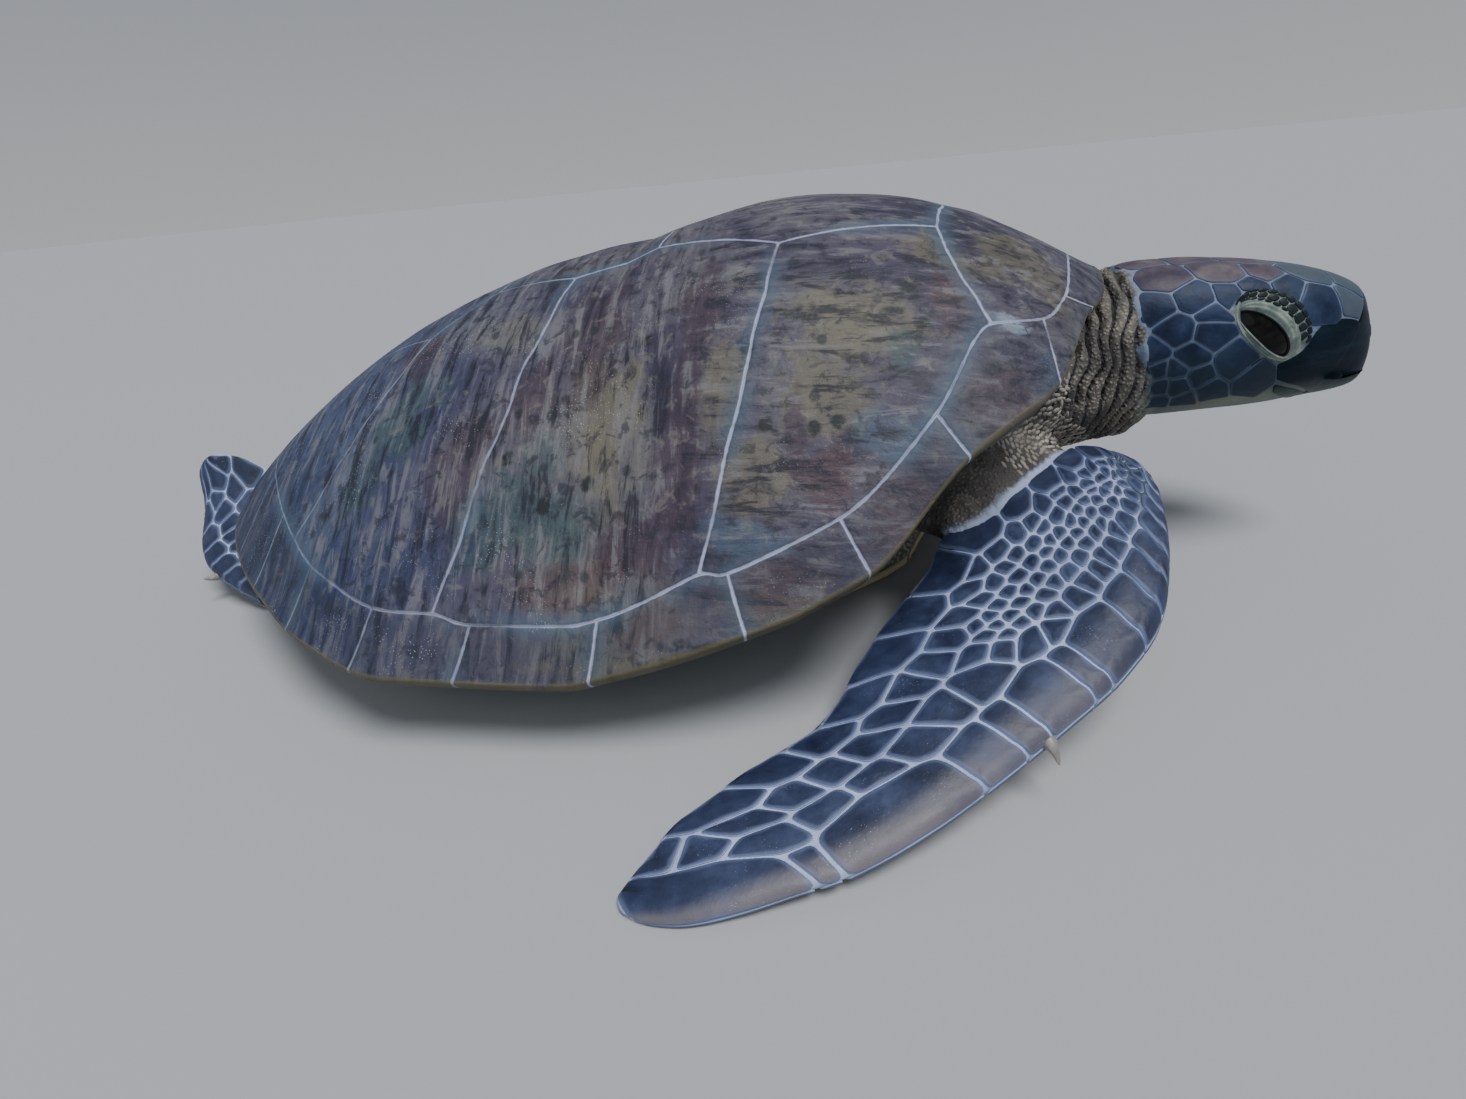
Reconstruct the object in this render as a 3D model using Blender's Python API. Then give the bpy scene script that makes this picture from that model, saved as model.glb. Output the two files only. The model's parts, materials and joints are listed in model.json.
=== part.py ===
"""A green sea turtle resting on the floor, life size, as separate solids.

Metres. +X points to the head, +Y to the turtle's left, +Z up. The origin is on the floor, under the
middle of the shell, on the flat of the plastron. Each side is built once and mirrored where the
animal is symmetric.
"""
import math

import bpy
import bmesh
import numpy as np
from mathutils import Vector

# ---- Driving dimensions -------------------------------------------------------------------------
SHELL_LENGTH = 0.650          # straight length of the carapace along the midline
SHELL_WIDTH = 0.5245          # widest straight width of the carapace
RIM_FRONT = 0.1344            # height of the rim at the front corner, the flank and the rear
RIM_FLANK = 0.0457
RIM_REAR = 0.0601
DOME_HEIGHT = 0.1788          # height of the dome over the rim at its peak
DOME_PEAK = 0.409             # place of that peak, as a share of the length from the front
RIM_THICKNESS = 0.006
UNDERLAP = 0.045              # how far the marginal plates fold in under the rim
PLATE = 0.003                 # thickness of the horny plates
GAP = 0.0003                  # air between pieces that touch
SEAM_GAP = 0.0008             # how far each marginal plate is drawn in at its ends
WALL_GAP = 0.0006             # air between the twisted inner walls of the marginals and the trunk
PLASTRON_PLATE = 0.0057
STATION_PITCH = 0.036         # spacing of the facets round the rim
HIP_X = -0.12                 # ends of the core line that the belly closes on
SHOULDER_X = 0.12

EYE_CENTRE = (0.4175, 0.0300, 0.1470)
EYE_RADIUS = 0.0165
MOUTH_Z = 0.1140              # height of the closed mouth line at the beak
HEAD_SIDES = 20
HEAD_YAW_SHIFT = -0.030       # sideways shift of the snout per metre in front of the nape
NAPE_X = 0.350

# Shares of the widest half width, at shares of the length from the front.
WIDTH_STATIONS = (0.0, 0.03, 0.08, 0.15, 0.25, 0.40, 0.50, 0.60, 0.70, 0.80, 0.90, 0.96, 1.0)
WIDTH_SHARES = (0.30, 0.50, 0.70, 0.825, 0.895, 0.985, 1.0, 1.0, 0.905, 0.735, 0.515, 0.33, 0.0)

# The ring of marginal plates: (s, v) of its inner seam and the place of the same section on the rim.
# s is the share of the length from the front, v the share of the half width from the midline. A rim
# place under FRONT_EDGE_S lies on the front edge, -1 being the midline; from there on it is s itself.
RING = (
    (0.028, 0.000, -1.000),   # 0  middle of the nuchal
    (0.059, 0.501, -0.010),   # 1  nuchal / marginal 1
    (0.085, 0.591, 0.077),    # 2  marginal 1 / 2
    (0.129, 0.604, 0.112),    # 3  vertebral 1 / costal 1
    (0.176, 0.768, 0.152),    # 4  marginal 2 / 3
    (0.248, 0.886, 0.226),    # 5  marginal 3 / 4
    (0.331, 0.910, 0.316),    # 6  marginal 4 / 5
    (0.353, 0.900, 0.343),    # 7  costal 1 / 2
    (0.432, 0.921, 0.435),    # 8  marginal 5 / 6
    (0.537, 0.919, 0.545),    # 9  marginal 6 / 7
    (0.571, 0.905, 0.582),    # 10 costal 2 / 3
    (0.628, 0.899, 0.640),    # 11 marginal 7 / 8
    (0.720, 0.862, 0.735),    # 12 marginal 8 / 9
    (0.761, 0.825, 0.778),    # 13 costal 3 / 4
    (0.800, 0.775, 0.818),    # 14 marginal 9 / 10
    (0.868, 0.620, 0.885),    # 15 marginal 10 / 11
    (0.902, 0.480, 0.922),    # 16 costal 4 / vertebral 5
    (0.926, 0.340, 0.950),    # 17 marginal 11 / 12
    (0.946, 0.000, 1.000),    # 18 rear midline
)
MARGINAL_SEAMS = (1, 2, 4, 5, 6, 8, 9, 11, 12, 14, 15, 17, 18)

# Corners of the vertebral plates, (s, v) on one side; MID holds the seams on the midline.
CORNER = ((0.165, 0.288), (0.301, 0.352), (0.420, 0.210), (0.500, 0.257),
          (0.595, 0.180), (0.653, 0.326), (0.785, 0.200))
MID = (0.150, 0.415, 0.600, 0.780)

# ---- Colours ------------------------------------------------------------------------------------
COLOURS = {
    "carapace": (0.135, 0.120, 0.135, 0.45),
    "plastron": (0.60, 0.55, 0.38, 0.5),
    "skin": (0.19, 0.19, 0.18, 0.6),
    "scaled_skin": (0.045, 0.065, 0.11, 0.5),
    "beak": (0.035, 0.045, 0.05, 0.35),
    "eye": (0.008, 0.008, 0.01, 0.08),
    "claw": (0.45, 0.45, 0.42, 0.4),
}


# ---- Small tools --------------------------------------------------------------------------------
def smooth_curve(xs, ys):
    """Monotone cubic through stations: no overshoot between them."""
    step = [b - a for a, b in zip(xs, xs[1:])]
    slope = [(b - a) / h for a, b, h in zip(ys, ys[1:], step)]
    tangent = [slope[0]]
    for i in range(1, len(slope)):
        before, after = slope[i - 1], slope[i]
        if before * after <= 0:
            tangent.append(0.0)
            continue
        wa = 2 * step[i] + step[i - 1]
        wb = step[i] + 2 * step[i - 1]
        tangent.append((wa + wb) / (wa / before + wb / after))
    tangent.append(slope[-1])

    def value(x):
        i = int(np.clip(np.searchsorted(xs, x, side="right") - 1, 0, len(step) - 1))
        t = min(max((x - xs[i]) / step[i], 0.0), 1.0)
        a = (1 + 2 * t) * (1 - t) ** 2
        b = t * (1 - t) ** 2
        c = t * t * (3 - 2 * t)
        d = t * t * (t - 1)
        return a * ys[i] + b * step[i] * tangent[i] + c * ys[i + 1] + d * step[i] * tangent[i + 1]

    return value


def table_curves(rows):
    """One smooth curve for each column after the first of a table of stations."""
    columns = list(zip(*rows))
    return [smooth_curve(columns[0], column) for column in columns[1:]]


def lerp(a, b, t):
    return Vector(a) * (1 - t) + Vector(b) * t


def mirrored(point):
    return Vector((point[0], -point[1], point[2]))


def material(kind):
    found = bpy.data.materials.get(kind)
    if found:
        return found
    red, green, blue, rough = COLOURS[kind]
    made = bpy.data.materials.new(kind)
    made.use_nodes = True
    shader = made.node_tree.nodes["Principled BSDF"]
    shader.inputs["Base Color"].default_value = (red, green, blue, 1)
    shader.inputs["Roughness"].default_value = rough
    shader.inputs["Metallic"].default_value = 0.0
    made.diffuse_color = (red, green, blue, 1)
    return made


def solid(name, vertices, faces, kind):
    """A closed body from points and faces, with its faces turned outwards."""
    mesh = bpy.data.meshes.new(name)
    mesh.from_pydata([tuple(v) for v in vertices], [], faces)
    bm = bmesh.new()
    bm.from_mesh(mesh)
    bmesh.ops.remove_doubles(bm, verts=bm.verts, dist=1e-6)
    bmesh.ops.triangulate(bm, faces=bm.faces)
    bmesh.ops.recalc_face_normals(bm, faces=bm.faces)
    bm.to_mesh(mesh)
    bm.free()
    mesh.materials.append(material(kind))
    mesh.shade_smooth()
    mesh.set_sharp_from_angle(angle=math.radians(35))
    body = bpy.data.objects.new(name, mesh)
    bpy.context.scene.collection.objects.link(body)
    return body


def loft(name, rings, kind):
    """A closed body through rings of equal length, its ends closed by fans."""
    count = len(rings[0])
    vertices = [Vector(p) for ring in rings for p in ring]
    faces = []
    for k in range(len(rings) - 1):
        for i in range(count):
            j = (i + 1) % count
            a, b = k * count, (k + 1) * count
            faces += [(a + i, a + j, b + i), (a + j, b + j, b + i)]
    for start in (0, (len(rings) - 1) * count):
        centre = sum((vertices[start + i] for i in range(count)), Vector()) / count
        vertices.append(centre)
        tip = len(vertices) - 1
        faces += [(start + i, start + (i + 1) % count, tip) for i in range(count)]
    return solid(name, vertices, faces, kind)


def cut(body, cutter):
    """Take the cutter out of the body; the cutter itself stays a hidden guide."""
    cutter.hide_render = True
    cutter.display_type = "WIRE"
    modifier = body.modifiers.new("clear of " + cutter.name, "BOOLEAN")
    modifier.operation = "DIFFERENCE"
    modifier.solver = "EXACT"
    modifier.object = cutter


# ---- Carapace surface ---------------------------------------------------------------------------
width_squared = smooth_curve(WIDTH_STATIONS, [w * w for w in WIDTH_SHARES])
FRONT_EDGE_S = 0.033          # the front edge curves back by this share of the length
FRONT_ROUNDING = 2.3
# The rim is notched over the fore flippers: the share of the half width that it reaches, along s.
rim_reach = smooth_curve((FRONT_EDGE_S, 0.078, 0.153, 0.225, 0.280), (0.55, 0.77, 0.853, 0.975, 1.0))


def half_width(s):
    return SHELL_WIDTH / 2 * math.sqrt(max(width_squared(s), 0.0))


def rim_height(s):
    if s < 0.45:
        return RIM_FRONT + (RIM_FLANK - RIM_FRONT) * (s / 0.45) ** 0.8
    return RIM_FLANK + (RIM_REAR - RIM_FLANK) * ((s - 0.45) / 0.55) ** 1.5


def midline_profile(s):
    """Height of the dome along the midline, as a share of its peak."""
    if s < DOME_PEAK:
        return 1 - 0.7125 * ((DOME_PEAK - s) / DOME_PEAK) ** 2.2
    return 1 - 0.97 * ((s - DOME_PEAK) / (1 - DOME_PEAK)) ** 1.9


def carapace(s, v):
    """The point of the shell's outer surface at share s of the length and share v of the width."""
    arch = max(1 - abs(v) ** 2.268, 0.0) ** 1.195
    z = rim_height(s) + DOME_HEIGHT * midline_profile(s) * arch
    return Vector((SHELL_LENGTH * (0.5 - s), v * half_width(s), z))


def rim_sv(place):
    """(s, v) of a place on the rim: first along the front edge, then along the flank."""
    if place >= FRONT_EDGE_S:
        return place, rim_reach(place)
    corner = rim_reach(FRONT_EDGE_S) * half_width(FRONT_EDGE_S)
    share = (1 + place) / (1 + FRONT_EDGE_S)
    s = FRONT_EDGE_S * share ** FRONT_ROUNDING
    return s, share * corner / half_width(s)


# ---- The ring of sections that the marginals, trunk, belly and plastron share ----------------------
inner_s = smooth_curve(range(len(RING)), [row[0] for row in RING])
inner_v = smooth_curve(range(len(RING)), [row[1] for row in RING])
rim_place = smooth_curve(range(len(RING)), [row[2] for row in RING])


def ring_parameters():
    """Evenly spaced places round one side; every key section of RING is one of them."""
    places = [0.0]
    for key in range(len(RING) - 1):
        ends = [carapace(*rim_sv(rim_place(key + e))) for e in (0, 1)]
        count = max(1, round((ends[1] - ends[0]).length / STATION_PITCH))
        places += [key + (k + 1) / count for k in range(count)]
    return places


STATIONS = ring_parameters()
KEY_STATION = {round(p): i for i, p in enumerate(STATIONS) if abs(p - round(p)) < 1e-9}


def core_point(x):
    return Vector((min(max(x, HIP_X), SHOULDER_X), 0, 0))


def belly_height(x):
    """Height of the plastron's outer face: flat in the middle, rising a little at both ends."""
    front = max(x - 0.150, 0) / 0.10
    rear = max(-0.170 - x, 0) / 0.08
    return 0.016 * min(front, 1.2) ** 2 + 0.007 * min(rear, 1.2) ** 2


PLASTRON_SHARE = 0.33         # where the plastron's edge lies between the ring and the core line
# How fully the flank under the rim bulges, along x: the body is hollow where a fore flipper folds in.
flank_power = smooth_curve((-0.33, 0.05, 0.14, 0.20, 0.33), (1.25, 1.20, 0.80, 0.50, 0.60))


def between_edges(seam, edge, share, place):
    """A place of the surface between the seam and the rim; near the tail it keeps to a straight line."""
    plain = Vector(seam) * (1 - share) + Vector(edge) * share
    if share in (0, 1):
        return plain
    spot = lerp(carapace(*seam), carapace(*edge), share)
    s = 0.5 - spot.x / SHELL_LENGTH
    straight = Vector((s, min(spot.y / half_width(s), 1)))
    turn = min(max((place - 15) / 2.5, 0), 1)
    return plain.lerp(straight, turn * turn * (3 - 2 * turn))


class Section:
    """One cut through the shell at a place of the ring, on the left side."""

    def __init__(self, place):
        seam = (inner_s(place), inner_v(place))
        edge = rim_sv(rim_place(place))
        self.seam = seam
        top = [carapace(*between_edges(seam, edge, t, place)) for t in (0, 0.4, 0.75, 1)]
        self.rim = top[3]
        to_core = (core_point(self.rim.x) - self.rim) * Vector((1, 1, 0))
        to_seam = (top[0] - self.rim) * Vector((1, 1, 0))
        inward = (to_core.normalized() + to_seam.normalized()).normalized()
        self.inward = inward
        under = self.rim + inward * UNDERLAP
        under.z = self.rim.z - RIM_THICKNESS - 0.011
        low_edge = self.rim + inward * 0.002 - Vector((0, 0, RIM_THICKNESS))
        mid = lerp(low_edge, under, 0.5) - Vector((0, 0, 0.001))
        ledge = top[0] - Vector((0, 0, PLATE + GAP))
        self.under = under
        outward_step = inward * -WALL_GAP
        self.outer = [self.rim, low_edge, mid, under]
        self.marginal = [top[0] + outward_step, top[1], top[2], self.rim, low_edge, mid, under,
                         ledge + outward_step]
        self.trunk_ledge = ledge
        self.trunk_under = under + inward * WALL_GAP
        self.core = core_point(self.rim.x)

    def belly(self, share):
        """A point of the body's underside, a share of the way from the ring to the core line."""
        plan = lerp(self.trunk_under, self.core, share)
        floor = belly_height(plan.x) + PLASTRON_PLATE + GAP
        rise = max(1 - share / PLASTRON_SHARE, 0) ** flank_power(self.rim.x)
        return Vector((plan.x, plan.y, floor + (self.trunk_under.z - floor) * rise))


SECTIONS = [Section(place) for place in STATIONS]


def ring_sv(first, last):
    """Inner seam of the ring between two keys, as (s, v) points, running either way."""
    a, b = KEY_STATION[first], KEY_STATION[last]
    order = range(a, b + 1) if b > a else range(a, b - 1, -1)
    return [SECTIONS[i].seam for i in order]


def seam_sv(a, b, bow=0.0):
    """A seam between two corners with a slight bow, as (s, v) points without its last one."""
    length = (carapace(*b) - carapace(*a)).length
    count = max(1, round(length / 0.045))
    points = []
    for k in range(count):
        t = k / count
        lift = bow * 4 * t * (1 - t)
        points.append((a[0] + (b[0] - a[0]) * t + lift, a[1] + (b[1] - a[1]) * t))
    return points


# ---- Horny plates of the back -------------------------------------------------------------------
def joined(*runs):
    """Runs of (s, v) points one after the other, without doubled points."""
    points = []
    for run in runs:
        for p in run:
            if not points or abs(p[0] - points[-1][0]) + abs(p[1] - points[-1][1]) > 1e-6:
                points.append(p)
    return points


def vertebral_half(number):
    """Left half of a vertebral plate's outline, from its front midline to its rear midline."""
    key = RING[3][:2]
    rear_key = RING[16][:2]
    if number == 1:
        return joined(ring_sv(0, 3), seam_sv(key, CORNER[0], 0.006), seam_sv(CORNER[0], (MID[0], 0)),
                      [(MID[0], 0)])
    front = (MID[number - 2], 0)
    first = CORNER[2 * (number - 2)]
    start = joined([front], reversed(seam_sv(first, front)))
    if number == 5:
        return joined(start, seam_sv(first, rear_key), ring_sv(16, 18))
    middle = CORNER[2 * number - 3]
    last = CORNER[2 * number - 2]
    return joined(start, seam_sv(first, middle), seam_sv(middle, last),
                  seam_sv(last, (MID[number - 1], 0)), [(MID[number - 1], 0)])


def costal_outline(number):
    """Outline of a left costal plate: along the vertebrals, out to the ring, and back along it."""
    keys = (3, 7, 10, 13, 16)
    front_key, rear_key = keys[number - 1], keys[number]
    upper = [CORNER[i] for i in ((0, 1), (1, 2, 3), (3, 4, 5), (5, 6))[number - 1]]
    front_end = RING[front_key][:2]
    rear_end = RING[rear_key][:2]
    bow = (0.006, -0.006, -0.008, -0.008, 0.0)
    if number == 1:
        run = [seam_sv(front_end, upper[0], bow[0])]
    else:
        run = [[front_end], reversed(seam_sv(upper[0], front_end, bow[number - 1]))]
    for a, b in zip(upper, upper[1:]):
        run.append(seam_sv(a, b))
    if number == 4:
        run.append(seam_sv(upper[-1], rear_end))
    else:
        run.append(seam_sv(upper[-1], rear_end, bow[number]))
    run.append(ring_sv(rear_key, front_key))
    return joined(*run)[:-1]


def plate_layout(outline):
    """Rings of (s, v) points inside an outline, and the faces that join them to one middle point."""
    count = len(outline)
    middle = (sum(p[0] for p in outline) / count, sum(p[1] for p in outline) / count)
    inner = [((p[0] + middle[0]) / 2, (p[1] + middle[1]) / 2) for p in outline]
    points = list(outline) + inner + [middle]
    faces = []
    for i in range(count):
        j = (i + 1) % count
        faces += [(i, j, count + j), (i, count + j, count + i), (count + i, count + j, 2 * count)]
    return points, faces


def back_plate(name, outline):
    """A horny plate that follows the carapace, drawn in by half a gap from its seams."""
    points, faces = plate_layout(outline)
    count = len(outline)
    top = [carapace(*p) for p in points]
    area = sum(a.x * b.y - b.x * a.y for a, b in zip(top[:count], top[1:count] + top[:1]))
    turn = 1 if area > 0 else -1
    pulled = []
    for i in range(count):
        along = (top[(i + 1) % count] - top[i - 1]) * Vector((1, 1, 0))
        normal = Vector((-along.y, along.x, 0)).normalized() * turn
        reach = (top[count + i] - top[i]).dot(normal)
        pulled.append(lerp(top[i], top[count + i], GAP / max(reach, 0.004)))
    top[:count] = pulled
    total = len(top)
    vertices = top + [p - Vector((0, 0, PLATE)) for p in top]
    under = [tuple(total + i for i in reversed(face)) for face in faces]
    sides = [(i, (i + 1) % count, total + (i + 1) % count, total + i) for i in range(count)]
    return solid(name, vertices, faces + under + sides, "carapace")


def full_outline(half):
    """A midline plate's whole outline from its left half."""
    return half + [(s, -v) for s, v in reversed(half[1:-1])]


VERTEBRALS = [full_outline(vertebral_half(n)) for n in range(1, 6)]
COSTALS = [costal_outline(n) for n in range(1, 5)]


def build_back_plates():
    for n, outline in enumerate(VERTEBRALS, 1):
        back_plate(f"vertebral_{n}", outline)
    for n, outline in enumerate(COSTALS, 1):
        back_plate(f"costal_left_{n}", outline)
        back_plate(f"costal_right_{n}", [(s, -v) for s, v in outline])


# ---- Marginal plates ----------------------------------------------------------------------------
def marginal_rings(first, last):
    """Section outlines from one seam to the next, drawn in a little at both ends."""
    rings = [SECTIONS[i].marginal for i in range(first, last + 1)]
    pulled = []
    for ring, neighbour in ((rings[0], rings[1]), (rings[-1], rings[-2])):
        length = (neighbour[3] - ring[3]).length
        pulled.append([lerp(a, b, SEAM_GAP / length) for a, b in zip(ring, neighbour)])
    return [pulled[0]] + rings[1:-1] + [pulled[1]]


def build_marginals():
    for n, (a, b) in enumerate(zip(MARGINAL_SEAMS, MARGINAL_SEAMS[1:]), 1):
        rings = marginal_rings(KEY_STATION[a], KEY_STATION[b])
        loft(f"marginal_left_{n}", rings, "carapace")
        loft(f"marginal_right_{n}", [[mirrored(p) for p in ring] for ring in rings], "carapace")


# ---- Trunk, plastron and the envelope that the limbs are cut by -----------------------------------
class Body:
    """Collects points and faces; equal points share one vertex."""

    def __init__(self):
        self.vertices = []
        self.index = {}
        self.faces = []

    def add(self, point):
        key = tuple(round(c * 1e6) for c in point)
        if key not in self.index:
            self.index[key] = len(self.vertices)
            self.vertices.append(Vector(point))
        return self.index[key]

    def face(self, *points):
        ids = []
        for p in points:
            i = self.add(p)
            if i not in ids:
                ids.append(i)
        if len(ids) > 2:
            self.faces.append(ids)

    def both_sides(self, *points):
        """A triangle on the left and its mirror on the right."""
        self.face(*points)
        self.face(*(mirrored(p) for p in reversed(points)))

    def band(self, upper, lower, falling=True):
        """Triangles between two rows of points, one point for each section."""
        for a, b, c, d in zip(upper, upper[1:], lower[1:], lower):
            if falling:
                self.both_sides(a, b, c)
                self.both_sides(a, c, d)
            else:
                self.both_sides(a, b, d)
                self.both_sides(b, c, d)


def lowered(point, depth):
    return Vector((point[0], point[1], point[2] - depth))


def build_trunk():
    body = Body()
    depth = PLATE + GAP
    outlines = VERTEBRALS + COSTALS + [[(s, -v) for s, v in outline] for outline in COSTALS]
    for outline in outlines:
        points, faces = plate_layout(outline)
        for face in faces:
            body.face(*(lowered(carapace(*points[i]), depth) for i in face))
    rows = [[sec.trunk_ledge for sec in SECTIONS], [sec.trunk_under for sec in SECTIONS]]
    rows += [[sec.belly(share) for sec in SECTIONS] for share in (0.16, PLASTRON_SHARE, 1.0)]
    for upper, lower in zip(rows, rows[1:]):
        body.band(upper, lower)
    return solid("trunk", body.vertices, body.faces, "skin")


def build_nuchal():
    """The plate over the neck: marginal sections on both sides of the midline."""
    body = Body()
    rings = [SECTIONS[0].marginal] + marginal_rings(0, KEY_STATION[1])[1:]
    rows = list(zip(*rings))
    for upper, lower in zip(rows, rows[1:] + rows[:1]):
        body.band(upper, lower, falling=False)
    end = rings[-1]
    centre = sum(end, Vector()) / len(end)
    for p, q in zip(end, end[1:] + end[:1]):
        body.both_sides(centre, p, q)
    return solid("nuchal", body.vertices, body.faces, "carapace")


def build_plastron():
    body = Body()
    edge = [sec.belly(PLASTRON_SHARE) for sec in SECTIONS]
    core = [sec.belly(1.0) for sec in SECTIONS]
    bevel = [lerp(a, b, 0.03) for a, b in zip(edge, core)]
    top_edge = [lowered(p, GAP) for p in edge]
    top_core = [lowered(p, GAP) for p in core]
    low_edge = [lowered(p, GAP + PLASTRON_PLATE) for p in bevel]
    low_core = [lowered(p, GAP + PLASTRON_PLATE) for p in core]
    mid_edge = [lowered(p, GAP + PLASTRON_PLATE * 0.6) for p in edge]
    rows = [top_core, top_edge, mid_edge, low_edge, low_core]
    for upper, lower in zip(rows, rows[1:]):
        body.band(upper, lower)
    return solid("plastron", body.vertices, body.faces, "plastron")


def build_envelope():
    """The whole shell grown by one gap: what flesh grows out of is cut off at this surface."""
    grow = GAP * 1.2
    body = Body()

    def grown(sec, point):
        return point - sec.inward * grow - Vector((0, 0, grow))

    rows = [[Vector((sec.rim.x, sec.rim.y, 0.30)) - sec.inward * grow for sec in SECTIONS]]
    rows += [[grown(sec, sec.outer[k]) for sec in SECTIONS] for k in range(4)]
    rows += [[grown(sec, sec.belly(share)) for sec in SECTIONS] for share in (0.16, PLASTRON_SHARE)]
    rows.append([lowered(sec.belly(1.0), grow) for sec in SECTIONS])
    rows[0] = [Vector((p.x, 0 if i in (0, len(rows[0]) - 1) else p.y, p.z))
               for i, p in enumerate(rows[0])]
    for k, (upper, lower) in enumerate(zip(rows, rows[1:])):
        body.band(upper, lower, falling=k > 3)
    lid = [Vector((sec.core.x, 0, 0.30)) for sec in SECTIONS]
    body.band(lid, rows[0])
    return solid("shell envelope", body.vertices, body.faces, "skin")


# ---- Head, beak, eyes and neck --------------------------------------------------------------------
# x on the axis, top, underside, half width, lean of the section (forward shift per metre of height)
HEAD_TABLE = (
    (0.3500, 0.1845, 0.0890, 0.0455, -0.25),
    (0.3620, 0.1865, 0.0900, 0.0470, -0.20),
    (0.3800, 0.1868, 0.0915, 0.0480, -0.12),
    (0.4000, 0.1852, 0.0930, 0.0468, -0.05),
    (0.4200, 0.1822, 0.0940, 0.0432, 0.04),
    (0.4400, 0.1775, 0.0955, 0.0375, 0.14),
    (0.4540, 0.1715, 0.0970, 0.0320, 0.24),
    (0.4640, 0.1650, 0.0985, 0.0272, 0.30),
    (0.4740, 0.1555, 0.1003, 0.0214, 0.22),
    (0.4830, 0.1440, 0.1028, 0.0150, 0.12),
    (0.4890, 0.1320, 0.1060, 0.0085, 0.04),
    (0.4915, 0.1240, 0.1090, 0.0040, 0.0),
)
BEAK_X = 0.4640
NECK_TABLE = (
    (0.2150, 0.1500, 0.0680, 0.0760, 0.0),
    (0.2600, 0.1580, 0.0670, 0.0770, -0.05),
    (0.2900, 0.1650, 0.0710, 0.0680, -0.10),
    (0.3150, 0.1720, 0.0750, 0.0580, -0.15),
    (0.3350, 0.1790, 0.0790, 0.0530, -0.22),
    (0.3496, 0.1835, 0.0835, 0.0490, -0.25),
)
SECTION_POWER = 2.35


def head_point(row, angle):
    """A point of the oval section that a table row describes."""
    x, top, bottom, width, lean = row
    power = 2 / SECTION_POWER
    middle = (top + bottom) / 2
    across = math.copysign(abs(math.cos(angle)) ** power, math.cos(angle)) * width
    up = math.copysign(abs(math.sin(angle)) ** power, math.sin(angle)) * (top - bottom) / 2
    px = x + lean * up
    shift = HEAD_YAW_SHIFT * max(px - NAPE_X, 0)
    return Vector((px, across + shift, middle + up))


def head_ring(row, sides=HEAD_SIDES):
    return [head_point(row, 2 * math.pi * i / sides) for i in range(sides)]


def beak_ring(row, upper):
    """The part of a head section over or under the mouth line, closed by a straight run."""
    _, top, bottom, _, _ = row
    middle = (top + bottom) / 2
    level = MOUTH_Z + (GAP if upper else -GAP) / 2
    share = min(max((level - middle) / ((top - bottom) / 2), -0.96), 0.96)
    start = math.asin(math.copysign(abs(share) ** (SECTION_POWER / 2), share))
    low, high = (start, math.pi - start) if upper else (math.pi - start, 2 * math.pi + start)
    count = 12 if upper else 8
    return [head_point(row, low + (high - low) * k / count) for k in range(count + 1)]


def build_head():
    head_rows = [row for row in HEAD_TABLE if row[0] <= BEAK_X]
    head = loft("head", [head_ring(row) for row in head_rows], "scaled_skin")
    beak_rows = [row for row in HEAD_TABLE if row[0] >= BEAK_X]
    first = beak_rows[0]
    beak_rows[0] = (first[0] + GAP,) + first[1:]
    loft("upper_beak", [beak_ring(row, True) for row in beak_rows], "beak")
    lower_rows = [(row[0] - 0.0015, min(row[1], 0.2), row[2], row[3] * 0.97, row[4])
                  for row in beak_rows[1:-1]]
    lower_rows.insert(0, beak_rows[0])
    loft("lower_beak", [beak_ring(row, False) for row in lower_rows], "beak")
    x, y, z = EYE_CENTRE
    for side, name in ((1, "left"), (-1, "right")):
        place = (x, side * y + HEAD_YAW_SHIFT * (x - NAPE_X), z)
        socket = ball(f"socket {name}", place, EYE_RADIUS + GAP)
        ball(f"eye_{name}", place, EYE_RADIUS)
        cut(head, socket)
    return head


def ball(name, centre, radius, segments=14, rings=9):
    """A sphere whose poles lie sideways, so an eye's middle is its pole."""
    circles = []
    for k in range(1, rings):
        polar = math.pi * k / rings
        middle = Vector(centre) + Vector((0, radius * math.cos(polar), 0))
        size = radius * math.sin(polar)
        circles.append(oval(middle, Vector((1, 0, 0)), Vector((0, 0, 1)), size, size, segments))
    body = loft(name, circles, "eye")
    mesh = body.data
    for vertex in mesh.vertices:
        offset = vertex.co - Vector(centre)
        if abs(offset.x) < 1e-6 and abs(offset.z) < 1e-6:
            vertex.co.y = centre[1] + math.copysign(radius, offset.y)
    return body


def build_neck(envelope):
    cut(loft("neck", [head_ring(row, 24) for row in NECK_TABLE], "skin"), envelope)


def build_neck_guide():
    """The neck grown by one gap, which the upper arms are cut by."""
    rows = [(x, top + GAP, bottom - GAP, width + 2 * GAP, lean)
            for x, top, bottom, width, lean in NECK_TABLE]
    return loft("neck guide", [head_ring(row, 24) for row in rows], "skin")


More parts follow.
